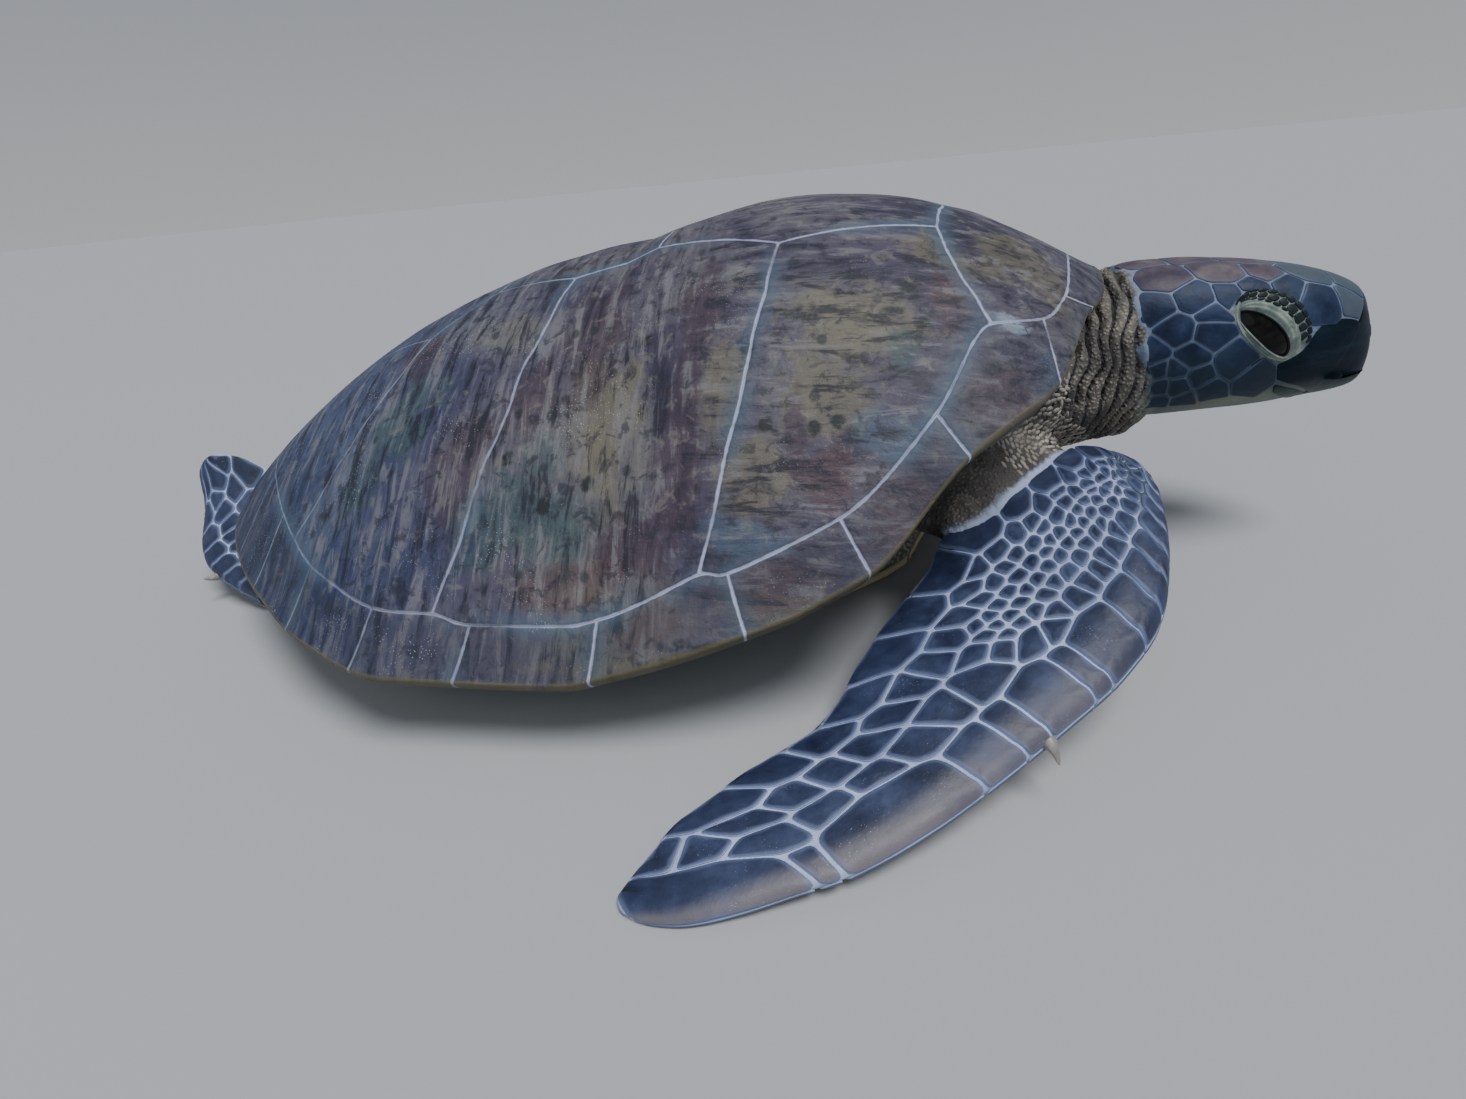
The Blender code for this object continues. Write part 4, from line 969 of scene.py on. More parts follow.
def lid_surface(phi, share, side):
    """The lids' skin in space; side 1 is the left eye."""
    q = lid_point(phi, share)
    q[:, 1] *= side
    centre = eye_centre(side)
    ray = HEAD.surface(q) - centre
    far = np.linalg.norm(ray, axis=1)
    ray = ray / far[:, None]
    upper = smoothstep(0.25, -0.35, np.sin(phi))
    ball = eye_reach(ray)
    lid = ball + 0.0010 + 0.0013 * smoothstep(0.0, 0.14, share) + 0.0010 * upper * bump_at(share, 0.45, 0.3)
    wrinkle = 0.00055 * upper * np.sin(share * 30 + 2.2 * np.sin(phi * 2.4)) * smoothstep(0.08, 0.2, share)
    wrinkle += 0.0004 * (1 - upper) * np.sin(share * 15)
    fade = smoothstep(0.25, 0.95, share)
    reach = (lid + wrinkle * smoothstep(0.72, 0.55, share)) * (1 - fade) + (far + 0.0003) * fade
    reach = np.maximum(reach, ball + 0.0009) - 0.0016 * smoothstep(1.0, 1.08, share)
    return centre + ray * reach[:, None], centre


def fold(spots):
    """Deep upright folds of the neck: 1 on a ridge, 0 in a gap."""
    drift = spots[:, 0] + 0.30 * np.maximum(0.135 - spots[:, 2], 0) + 0.0042 * waves(spots, 0.060, 21, 3)
    ridge = np.abs(np.sin(np.pi * drift / 0.0078)) ** 0.55
    split = np.abs(np.sin(np.pi * (drift + 0.0015 * waves(spots, 0.03, 24, 2)) / 0.0041)) ** 0.5
    return ridge * (0.72 + 0.28 * split)


def neck_relief(x, spots):
    """How far the neck's skin stands off its plain shape."""
    zone = smoothstep(0.258, 0.300, x) * smoothstep(0.3520, 0.3475, x)
    side = smoothstep(0.066, 0.088, spots[:, 2])
    fine = waves(spots * (1.0, 0.6, 0.35), 0.011, 22, 3)
    deep = 0.0062 * (0.75 + 0.55 * waves(spots, 0.030, 25, 2))
    return zone * ((deep * (fold(spots) - 1) + 0.0018) * (0.3 + 0.7 * side) + 0.0004 * fine)


def build_neck_and_head():
    xs = np.concatenate([np.arange(0.225, 0.348, 0.00115), np.arange(0.348, BEAK_X - 0.001, 0.0022),
                         [BEAK_X]])
    sides = 150
    angle = 2 * math.pi * np.arange(sides) / sides
    x, turn = np.meshgrid(xs, angle, indexing="ij")
    spots = head_raw(x, turn)
    along = np.gradient(spots, axis=0)
    around = np.roll(spots, -1, axis=1) - np.roll(spots, 1, axis=1)
    normal = unit(np.cross(around, along))
    normal *= np.sign(normal[len(xs) // 2, sides // 4, 2])
    relief = neck_relief(x.ravel(), spots.reshape(-1, 3)).reshape(x.shape)
    spots = spots + normal * relief[..., None]
    head = closed_loft("neck and head", spots)
    for side in (1, -1):
        head = boolean(head, lid_cutter(side), "DIFFERENCE")
    for side in (1, -1):
        head = boolean(head, build_lids(side), "UNION")
    return head


def lid_cutter(side):
    """A cone from inside the eyeball out through the lids' border."""
    phi = 2 * math.pi * np.arange(96) / 96
    spots, centre = lid_surface(phi, np.full(96, 0.98), side)
    ray = unit(spots - centre)
    return closed_loft("lid cutter", [centre + ray * 0.010, centre + ray * 0.019, centre + ray * 0.040])


def closed_loft(name, rings, paint=None):
    """A closed body from rings of points, with a fan over each end."""
    rings = np.asarray(rings)
    count, sides = rings.shape[:2]
    points = np.concatenate([rings.reshape(-1, 3), rings[:1].mean(axis=1), rings[-1:].mean(axis=1)])
    faces = grid_faces(count, sides, wrap=True)
    faces += fan(0, sides, count * sides, turned=True) + fan((count - 1) * sides, sides, count * sides + 1)
    return face_outwards(piece(name, points, faces, paint or SKIN_PAINT))


def build_lids(side):
    phi = 2 * math.pi * np.arange(132) / 132
    shares = np.concatenate([[0.0], np.arange(0.03, 0.56, 0.04), (0.60, 0.66, 0.73, 0.80, 0.87, 0.94,
                                                                  1.0, 1.06)])
    rows = [lid_surface(phi, np.full(len(phi), share), side)[0] for share in shares]
    centre = eye_centre(side)
    rows = [centre + (rows[0] - centre) * 0.72] + rows + [centre + (rows[-1] - centre) * 0.62]
    points = np.array(rows)
    faces = grid_faces(len(rows), len(phi), wrap=True)
    total = (len(rows) - 1) * len(phi)
    faces += [(total + i, total + (i + 1) % len(phi), (i + 1) % len(phi), i) for i in range(len(phi))]
    return face_outwards(piece("lids", points.reshape(-1, 3), faces, SKIN_PAINT))


def build_blade_skin(blade, first, last, lift, pitch, tip=0.0):
    """A blade's skin between two places, set in by the lift, with a rounded tip of that length."""
    us = np.linspace(first, last, max(8, round((last - first) / pitch)))
    shares = np.linspace(0, 1, 34) ** 1.5
    rings = []
    for u in us:
        width = blade.width(u)
        a = np.concatenate([shares * width, -shares[:0:-1] * width])
        rings.append(blade.lifted(np.stack([np.full(len(a), u), a], 1), np.full(len(a), lift)))
    end, middle = rings[-1], rings[-1].mean(axis=0)
    along = unit(middle - rings[-3].mean(axis=0))
    for share in (0.4, 0.75, 0.95) if tip else ():
        rings.append(middle + (end - middle) * math.sqrt(1 - share * share) + along * tip * share)
    rings = np.array(rings)
    rings[..., 2] = np.maximum(rings[..., 2], 0)
    return closed_loft("blade", rings)


def oval(centre, along, up, half_length, half_height):
    turn = 2 * math.pi * np.arange(OVAL_SIDES)[:, None] / OVAL_SIDES
    return np.asarray(centre) + np.asarray(along) * np.cos(turn) * half_length + up * np.sin(turn) * half_height


def swept(rings):
    """Rings filled in between with smooth curves."""
    rings = np.asarray(rings)
    keys = np.concatenate([[0], np.cumsum(np.linalg.norm(np.diff(rings.mean(axis=1), axis=0), axis=1))])
    fine = np.linspace(0, keys[-1], 5 * (len(rings) - 1) + 1)
    flat = rings.reshape(len(rings), -1)
    filled = np.stack([curve(keys, flat[:, k])(fine) for k in range(flat.shape[1])], axis=1)
    return filled.reshape(len(fine), *rings.shape[1:])


def build_arm(blade, sign):
    chord, normal = (v[0] for v in blade.frame(np.array([0.0])))
    joint = blade.place(np.array([0.008]), np.array([FORE_JOINT_C]), np.array([0.0]))[0]
    rise = np.array((0, 0, 1.0))
    rings = [oval((0.175, -0.035, 0.090), blade.axis, normal, 0.040, 0.032),
             oval((0.190, -0.050, 0.088), blade.axis, normal, 0.046, 0.036),
             oval((0.216, -0.078, 0.088), blade.axis, normal, 0.054, 0.038),
             oval(joint + chord * 0.020 + rise * 0.009, blade.axis, normal, 0.0570, 0.0320),
             oval(joint + chord * 0.007 + rise * 0.004, blade.axis, normal, 0.0535, 0.0225),
             oval(joint - chord * 0.012, blade.axis, normal, 0.0480, 0.0145)]
    return closed_loft("arm", swept(rings) * (1, sign, 1))


def build_thigh(blade, sign):
    chord, normal = (v[0] for v in blade.frame(np.array([0.0])))
    joint = blade.root - (0, 0, blade.drop)
    knee = np.array((-0.200, -0.086, 0.044))
    rings = [oval((-0.165, -0.065, 0.052), chord, normal, 0.042, 0.028),
             oval(knee, chord, normal, 0.041, 0.027),
             oval(knee * 0.45 + joint * 0.55, chord, normal, 0.0350, 0.0205),
             oval(joint, chord, normal, 0.0270, 0.0142),
             oval(joint + blade.axis * 0.012, chord, normal, 0.0270, 0.0120)]
    rings = swept(rings)
    rings[..., 2] = np.maximum(rings[..., 2], 0)
    return closed_loft("thigh", rings * (1, sign, 1))


def build_tail():
    stations = ((-0.255, 0.050, 0.024), (-0.290, 0.042, 0.020), (-0.315, 0.035, 0.015),
                (-0.335, 0.029, 0.010), (-0.350, 0.025, 0.0045))
    rings = [oval((x, 0, z), np.array((0, 1, 0)), np.array((0, 0, 1)), r, r * 0.85) for x, z, r in stations]
    return closed_loft("tail", swept(rings))


def belly_height(x):
    front, rear = max(x - 0.150, 0) / 0.10, max(-0.170 - x, 0) / 0.08
    return 0.016 * min(front, 1.2) ** 2 + 0.007 * min(rear, 1.2) ** 2


PLASTRON_PLATE, PLASTRON_SHARE = 0.0057, 0.33
flank_power = curve((-0.33, 0.05, 0.14, 0.20, 0.33), (1.25, 1.20, 0.80, 0.50, 0.60))


def trunk_column(place):
    """Points of the body inside the shell at one place of the ring, from the back round to the belly."""
    _, _, seam_spot, rim, core, inward = ring_place(place)
    column = []
    for share in (0.0, 0.35, 0.7, 0.9):
        spot = core * (1 - share) + seam_spot * share
        s = 0.5 - spot[0] / SHELL_LENGTH
        z = shell_point(np.array([s, spot[1] / half_width(s)]))[2]
        column.append((spot[0], spot[1], z - 0.0065))
    column.append(seam_spot + inward * 0.001 - (0, 0, PLATE + 0.002))
    under = rim + inward * (UNDERLAP + 0.001)
    under[2] = rim[2] - RIM_THICKNESS - 0.011
    column.append(column[-1] * 0.5 + under * 0.5)
    column.append(under)
    for share in (0.05, 0.11, 0.18, 0.25, 0.33, 0.6, 1.0):
        spot = under * (1 - share) + core * share
        floor = belly_height(spot[0]) + PLASTRON_PLATE + GAP
        rise = max(1 - share / PLASTRON_SHARE, 0) ** float(flank_power(rim[0]))
        column.append((spot[0], spot[1], floor + (under[2] - floor) * rise))
    return np.array(column)


def build_trunk():
    columns = [trunk_column(place) for place in np.linspace(0, LAST_PLACE, 150)]
    for column in (columns[0], columns[-1]):
        column[:, 1] = 0
    columns += [column * (1, -1, 1) for column in columns[-2:0:-1]]
    points = np.array(columns)
    count = points.shape[1]
    faces = grid_faces(len(columns), count)
    last = (len(columns) - 1) * count
    faces += [(last + k, last + k + 1, k + 1, k) for k in range(count - 1)]
    return face_outwards(piece("trunk", points.reshape(-1, 3), faces, SKIN_PAINT))


# ---- One skin --------------------------------------------------------------------------------------
VOXEL = 0.0030
SKIN_NODES = ("trunk", "head", "neck", "tail", "upper_arm_left", "upper_arm_right", "fore_flipper_left",
              "fore_flipper_right", "thigh_left", "thigh_right", "hind_flipper_left", "hind_flipper_right")


def merged(name, parts):
    """One object out of several, without joining their surfaces."""
    bm = bmesh.new()
    for part in parts:
        bm.from_mesh(part.data)
        bpy.data.objects.remove(part)
    mesh = bpy.data.meshes.new(name)
    bm.to_mesh(mesh)
    bm.free()
    mesh.materials.append(SKIN_PAINT)
    made = bpy.data.objects.new(name, mesh)
    bpy.context.scene.collection.objects.link(made)
    return made


def baked(made, name, kind, **values):
    """The object's mesh after one modifier."""
    modifier = made.modifiers.new(name, kind)
    for key, value in values.items():
        setattr(modifier, key, value)
    graph = bpy.context.evaluated_depsgraph_get()
    fresh = bpy.data.meshes.new_from_object(made.evaluated_get(graph))
    made.modifiers.clear()
    made.data = fresh
    return made


def smoothed(mesh, weight, rounds, strength=0.5):
    """Neighbour averaging, as strong at each point as its weight."""
    points = mesh_points(mesh)
    edges = np.empty(len(mesh.edges) * 2, dtype=np.int64)
    mesh.edges.foreach_get("vertices", edges)
    a, b = edges.reshape(-1, 2).T
    degree = np.bincount(np.concatenate([a, b]), minlength=len(points))[:, None]
    for step in range(rounds):
        push = strength if step % 2 == 0 else -strength * 0.94
        if strength < 0:
            push = -strength
        total = np.zeros_like(points)
        for k in range(3):
            total[:, k] = (np.bincount(a, points[b, k], len(points)) + np.bincount(b, points[a, k],
                                                                                   len(points)))
        points += (total / np.maximum(degree, 1) - points) * push * weight[:, None]
    mesh.vertices.foreach_set("co", points.ravel())
    mesh.update()


def boolean(made, other, operation):
    made = baked(made, operation, "BOOLEAN", operation=operation, object=other, solver="MANIFOLD")
    bpy.data.objects.remove(other)
    return made


def build_body():
    """Trunk, shoulders, thighs and tail run together."""
    parts = [build_trunk(), build_tail()]
    for side, sign in (("right", 1), ("left", -1)):
        fore, hind = BLADES["fore_" + side], BLADES["hind_" + side]
        parts += [build_arm(fore, sign), build_thigh(hind, sign)]
        parts.append(build_blade_skin(fore, fore.first + 0.006, 0.060, -0.0014, 0.006))
    xs = np.linspace(0.19, 0.272, 14)
    x, turn = np.meshgrid(xs, 2 * math.pi * np.arange(60) / 60, indexing="ij")
    parts.append(closed_loft("neck base", head_raw(x, turn)))
    body = baked(merged("body", parts), "grid", "REMESH", mode="VOXEL", voxel_size=VOXEL)
    points = mesh_points(body.data)
    smoothed(body.data, np.ones(len(points)), 8, -0.5)
    inside = shell_cover(points)
    group = body.vertex_groups.new(name="hidden")
    for index in np.flatnonzero(inside):
        group.add([int(index)], 1.0, "ADD")
    share = inside.mean()
    body = baked(body, "thin", "DECIMATE", ratio=1 - share * 0.93, vertex_group="hidden",
                 use_collapse_triangulate=True)
    body.vertex_groups.clear()
    return body


def shell_cover(points):
    """True for points under the shell and well inside its rim, or flat on the belly."""
    s = np.clip(0.5 - points[:, 0] / SHELL_LENGTH, 0.01, 0.985)
    v = np.abs(points[:, 1]) / half_width(s)
    reach = np.where(s < 0.28, rim_reach(s), 1.0)
    return (v < reach - 0.16) & (s > 0.10) & (s < 0.90)


def build_skin():
    body = build_body()
    others = [build_neck_and_head()]
    for key, blade in BLADES.items():
        pitch = 0.003 if key.startswith("hind") else 0.0028
        others.append(build_blade_skin(blade, blade.first, blade.last, -0.0003, pitch, tip=0.0012))
    known = np.concatenate([mesh_points(o.data) for o in [body] + others])
    for other in others:
        body = boolean(body, other, "UNION")
    old = find_nearest(known)
    points = mesh_points(body.data)
    seams = find_nearest(points[np.array([old.find(p)[2] > 1e-5 for p in points])])
    near = np.array([seams.find(p)[2] for p in points])
    smoothed(body.data, smoothstep(0.016, 0.002, near), 16, -0.5)
    points = mesh_points(body.data)
    points[:, 2] = np.maximum(points[:, 2], 0.0)
    body.data.vertices.foreach_set("co", points.ravel())
    body.name = "skin"
    body.data.materials.clear()
    body.data.materials.append(SKIN_PAINT)
    body.data.shade_smooth()
    return body


def eye_ball(name, side):
    bm = bmesh.new()
    bmesh.ops.create_uvsphere(bm, u_segments=72, v_segments=48, radius=1)
    mesh = bpy.data.meshes.new(name)
    bm.transform(Matrix.Translation(eye_centre(side)) @ Matrix.Rotation(EYE_TILT, 4, "Y")
                 @ Matrix.Diagonal((EYE_LONG, EYE_OUT, EYE_HIGH, 1)) @ Matrix.Rotation(math.pi / 2, 4, "X"))
    bm.to_mesh(mesh)
    bm.free()
    mesh.shade_smooth()
    made = bpy.data.objects.new(name, mesh)
    bpy.context.scene.collection.objects.link(made)
    return made


def skin_paint():
    """Beige skin with fine grain, painted shade in the neck's creases and at the eye's socket; pale where the scales
    lie on it.
    """
    p = Paint("skin")
    mottled = p.noise(40.0, 5, 0.6)
    colour = p.ramp(mottled, ((0.30, (0.050, 0.048, 0.048)), (0.48, (0.135, 0.125, 0.112)),
                              (0.66, (0.340, 0.310, 0.255))))
    crease = p.attribute("crease")
    # Painted shade: near-black in the gaps between the neck's folds.
    colour = p.mix(p.remap(crease, 0.15, 0.85), colour, (0.012, 0.011, 0.012))
    grain = p.cells(430.0)
    colour = p.mix(p.times(p.remap(grain, 0.34, 0.62), 0.55), colour, (0.030, 0.030, 0.034))
    lid = p.attribute("lid")
    lid_tint = p.ramp(p.noise(110.0, 4, 0.6), ((0.32, (0.075, 0.105, 0.105)), (0.5, (0.165, 0.205, 0.185)),
                                               (0.68, (0.30, 0.34, 0.29))))
    colour = p.mix(p.remap(lid, 0.5, 1.0), colour, lid_tint)
    # Painted shade: near-black at the very edge of the eye's opening and on the socket wall round the eyeball.
    colour = p.mix(p.remap(lid, 1.2, 2.0), colour, (0.012, 0.016, 0.020))
    scaled = p.attribute("scaled")
    tint = p.ramp(p.noise(18.0, 4), ((0.35, (0.27, 0.33, 0.50)), (0.6, (0.46, 0.53, 0.72))))
    head_tint = p.ramp(p.noise(30.0, 4), ((0.35, (0.110, 0.150, 0.220)), (0.6, (0.180, 0.220, 0.310))))
    ahead = p.remap(p.axis(0), 0.315, 0.325)
    tint = p.mix(ahead, tint, head_tint)
    tint = p.mix(p.times(ahead, p.remap(p.axis(2), 0.150, 0.118)), tint, (0.050, 0.082, 0.090))
    colour = p.mix(scaled, colour, tint)
    # Greenish cream under the throat and belly, its own colour darkened in part as painted shade.
    low = p.attribute("low")
    pale = p.ramp(p.noise(24.0, 4), ((0.35, (0.100, 0.125, 0.115)), (0.65, (0.190, 0.210, 0.170))))
    colour = p.mix(low, colour, pale)
    plain = p.remap(p.maths("ADD", lid, scaled), 0.2, 0.9, 1.0, 0.15)
    pebbles = p.bump(p.times(p.remap(grain, 0.6, 0.1), plain), 0.0008)
    normal = p.bump(p.noise(260.0, 4), 0.0003, pebbles)
    return p.finish(colour, p.remap(mottled, 0.3, 0.7, 0.58, 0.70, False), normal, specular=0.25)


SKIN_PAINT = skin_paint()
SKIN = build_skin()


# ---- Scales -----------------------------------------------------------------------------------------
def clipped(polygon, direction, limit, origin):
    """The part of a convex polygon on the near side of a line."""
    side = (polygon - origin) @ direction - limit
    kept = []
    for k in range(len(polygon)):
        a, b = polygon[k - 1], polygon[k]
        da, db = side[k - 1], side[k]
        if (da > 0) != (db > 0):
            kept.append(a + (b - a) * (da / (da - db)))
        if db <= 0:
            kept.append(b)
    return np.array(kept)


def cells(seeds, ghosts, inset, walls=()):
    """A polygon round each seed (x, y, radius): the places nearer to it than to the others."""
    sites = np.concatenate([seeds, ghosts]) if len(ghosts) else seeds
    found = []
    for i, seed in enumerate(seeds):
        offset = sites[:, :2] - seed[:2]
        far = np.linalg.norm(offset, axis=1)
        polygon = seed[:2] + np.array([(-1, -1), (1, -1), (1, 1), (-1, 1)]) * max(seed[2] * 3.6, 0.006)
        for j in np.argsort(far)[:32]:
            if j == i or far[j] < 1e-5:
                continue
            limit = far[j] / 2 + (seed[2] ** 2 - sites[j, 2] ** 2) / (2 * far[j])
            polygon = clipped(polygon, offset[j] / far[j], limit - inset, seed[:2])
            if len(polygon) < 3:
                break
        for centre, slant, half in walls:
            across = np.array([-slant[1], slant[0]])
            local = np.array([(seed[:2] - centre) @ slant / half[0], (seed[:2] - centre) @ across / half[1]])
            size = np.linalg.norm(local)
            touch = centre + (local[0] * half[0] * slant + local[1] * half[1] * across) / size
            out = unit(local[0] / half[0] * slant + local[1] / half[1] * across)
            if len(polygon) >= 3:
                polygon = clipped(polygon, -out, -inset, touch)
        if len(polygon) >= 3 and np.ptp(polygon, axis=0).min() > 0.0012:
            found.append((i, polygon))
    return found


def rounded(polygon, pitch):
    """The outline as evenly spaced points with its corners rounded."""
    closed = np.concatenate([polygon, polygon[:1]])
    reach = np.concatenate([[0], np.cumsum(np.linalg.norm(np.diff(closed, axis=0), axis=1))])
    count = int(np.clip(round(reach[-1] / pitch), 10, 64))
    even = np.linspace(0, reach[-1], count, endpoint=False)
    points = np.stack([np.interp(even, reach, closed[:, k]) for k in (0, 1)], axis=1)
    for _ in range(2):
        points = 0.5 * points + 0.25 * (np.roll(points, 1, axis=0) + np.roll(points, -1, axis=0))
    return points


SCALE_STEPS = ((0.0, -0.0003), (0.00012, 0.00030), (0.0005, 0.00062), (0.0012, 0.00078), (0.0026, 0.00086))


def scale_piece(name, polygons, to_skin, paint, to_map, height=1.0, pitch=0.0018, tones=None, belly=None):
    """Closed, slightly domed plates over the skin, one for each polygon of its flat address."""
    q, h, edge, tone, uv, faces = [], [], [], [], [], []
    base = 0
    for n, polygon in enumerate(polygons):
        outline = rounded(polygon, pitch)
        middle = outline.mean(axis=0)
        reach = np.linalg.norm(outline - middle, axis=1)
        small = min(reach.min() / 0.0045, 1.0)
        rings, rise, far = [], [], []
        for depth, lift in SCALE_STEPS:
            depth *= small
            rings.append(outline + (middle - outline) * (depth / reach)[:, None])
            rise.append(np.full(len(outline), lift * (0.45 + 0.55 * small) * height))
            far.append(np.full(len(outline), depth))
        for share in (0.35, 0.65):
            rings.append(rings[4] + (middle - rings[4]) * share)
            rise.append(np.full(len(outline), (0.00086 + 0.0003 * share) * (0.45 + 0.55 * small) * height))
            far.append(np.linalg.norm(rings[-1] - outline, axis=1))
        count = len(outline)
        block = np.concatenate(rings + [middle[None], middle[None]])
        q.append(block)
        h.append(np.concatenate(rise + [[0.0012 * (0.45 + 0.55 * small) * height], [-0.0003]]))
        edge.append(np.concatenate(far + [[reach.min()], [0]]))
        value = RNG.uniform(0, 1) if tones is None else tones[n]
        tone.append(np.full(len(block), value))
        size = 2 * reach.max()
        uv.append(to_map(middle[None]) + (block - middle) / size * 0.003)
        faces += [tuple(base + i for i in f) for f in grid_faces(len(rings), count, wrap=True)]
        last, top, under = base + (len(rings) - 1) * count, base + len(block) - 2, base + len(block) - 1
        faces += [(last + i, last + (i + 1) % count, top) for i in range(count)]
        faces += [(base + (i + 1) % count, base + i, under) for i in range(count)]
        base += len(block)
    q, h = np.concatenate(q), np.concatenate(h)
    points = to_skin(q, h)
    made = piece(name, points, faces, paint,
                 {"edge": np.concatenate(edge), "tone": np.concatenate(tone),
                  "fade": np.zeros(len(points)) if belly is None else belly(q)}, np.concatenate(uv))
    return face_outwards(made)


# Fore flipper: seams along its rows of scales, as distances from the root; share of the chord they sit at.
LEADING_SEAMS = (0.313, 0.2465, 0.228, 0.164, 0.139, 0.122, 0.095, 0.0815, 0.0533, 0.0335, 0.017, 0.003,
                 -0.011, -0.023, -0.034, -0.044, -0.054)
SECOND_SEAMS = (0.262, 0.232, 0.205, 0.180, 0.157, 0.137, 0.117)
THIRD_SEAMS = (0.288, 0.262, 0.238, 0.216, 0.196, 0.176, 0.158, 0.140, 0.122, 0.106)
TRAILING_SEAMS = (0.304, 0.276, 0.238, 0.211, 0.187, 0.158, 0.125, 0.095, 0.064, 0.034, 0.008, -0.018, -0.040)
WRIST_ROWS = ((0.340, 0.0100, 0.090), (0.415, 0.0090, 0.108), (0.485, 0.0088, 0.112), (0.555, 0.0092, 0.104),
              (0.630, 0.0108, 0.098), (0.715, 0.0135, 0.090))
SQUEEZE = curve((-0.06, 0.05, 0.13, 0.32), (-0.06, 0.05, 0.105, 0.195))
SQUEEZE_KEYS = np.linspace(-0.08, 0.34, 400)


def squeezed(u):
    return np.where(u > 0.32, 0.195 + (u - 0.32) * 0.47, np.where(u < -0.06, u, SQUEEZE(u)))


def row_seeds(blade, seams, share, spread, sign, power=0.75):
    seeds = []
    for a, b in zip(seams, seams[1:]):
        u = (a + b) / 2
        half = abs(float(squeezed(a) - squeezed(b))) / 2
        place = (share + RNG.uniform(-1, 1) * spread) * blade.width(u)
        seeds.append((float(squeezed(u)), sign * place, half * power + 0.0020))
    return seeds


def mirrored_out(seeds, width, slope):
    """Seeds near a blade's edge reflected over it, so that their scales end there."""
    beyond = seeds.copy()
    out = np.stack([-slope, np.ones(len(slope))], 1) / np.sqrt(1 + slope ** 2)[:, None]
    slack = (np.abs(seeds[:, 1]) - width) * out[:, 1]
    beyond[:, :2] -= 2 * slack[:, None] * out * np.stack([np.ones(len(slope)), np.sign(seeds[:, 1])], 1)
    return beyond


def fore_scales(key):
    blade = BLADES[key]
    seeds = []
    for sign in (1, -1):
        seeds += row_seeds(blade, LEADING_SEAMS, 0.155, 0.0, sign, 1.0)
        seeds += row_seeds(blade, SECOND_SEAMS, 0.385, 0.015, sign)
        seeds += row_seeds(blade, THIRD_SEAMS, 0.610, 0.015, sign)
        seeds += row_seeds(blade, TRAILING_SEAMS, 0.850, 0.0, sign)
        for n, (share, pitch, start) in enumerate(WRIST_ROWS):
            u = start - (n % 2) * pitch / 2
            while u > -0.052:
                jitter = RNG.uniform(-0.22, 0.22, 2) * pitch
                width = blade.width(u)
                seeds.append((float(squeezed(u + jitter[0])), sign * (share * width + jitter[1]),
                              pitch * 0.48))
                u -= pitch * RNG.uniform(0.9, 1.15)
    seeds = np.array(seeds)
    real = np.interp(seeds[:, 0], squeezed(SQUEEZE_KEYS), SQUEEZE_KEYS)
    width = blade.width(real)
    far = np.abs(seeds[:, 1])
    edge = far > 0.62 * width
    slope = ((blade.width(real + 0.002) - blade.width(real - 0.002))
             / (squeezed(real + 0.002) - squeezed(real - 0.002)))
    beyond = mirrored_out(seeds[edge], width[edge], slope[edge])
    tip = seeds[real > 0.25].copy()
    tip[:, 0] = 2 * float(squeezed(blade.last + 0.0008)) - tip[:, 0]
    root = seeds[real < -0.03].copy()
    root[:, 0] = 2 * -0.056 - root[:, 0]
    found = cells(seeds, np.concatenate([beyond, tip, root]), 0.00042)

    def unsqueezed(q):
        u = np.interp(q[:, 0], squeezed(SQUEEZE_KEYS), SQUEEZE_KEYS)
        return np.stack([u, q[:, 1]], axis=1)

    def to_skin(q, h):
        q = q.copy()
        width = blade.width(q[:, 0])
        over = np.maximum(np.abs(q[:, 1]) - width, 0)
        q[:, 1] = np.clip(q[:, 1], -width, width)
        thin = smoothstep(0.0, 0.004, width - np.abs(q[:, 1]))
        return blade.lifted(q, np.where(h < 0, h * (0.3 + 0.7 * thin), h * (0.5 + 0.5 * thin)) - over * 0)

    polygons = [unsqueezed(polygon) for _, polygon in found]

    def fade(q):
        share = q[:, 1] / np.maximum(blade.width(q[:, 0]), 1e-4)
        lead = smoothstep(0.26, 0.02, share) * smoothstep(0.02, 0.15, q[:, 0])
        return np.where(q[:, 1] < 0, 2.0 * smoothstep(0.0, -0.10, share), lead)

    shift = {"fore_right": 0.0, "fore_left": 0.5}[key]
    made = scale_piece(key + "_scales", polygons, to_skin, SCALE_PAINT,
                       lambda q: np.stack([0.08 + (q[:, 0] + 0.06) * 2.2, shift + 0.25 + q[:, 1] * 1.6], 1),
                       belly=fade)
    settle(made, "scaled_skin")


HIND_SEAMS = ((0.13, (0.148, 0.128, 0.104, 0.081, 0.060, 0.040, 0.020, 0.002)),
              (0.38, (0.144, 0.128, 0.112, 0.097, 0.083, 0.069, 0.055, 0.041, 0.027, 0.013, 0.001)),
              (0.62, (0.142, 0.120, 0.105, 0.090, 0.076, 0.062, 0.048, 0.034, 0.020, 0.006)),
              (0.87, (0.146, 0.126, 0.106, 0.086, 0.066, 0.046, 0.026, 0.006)))


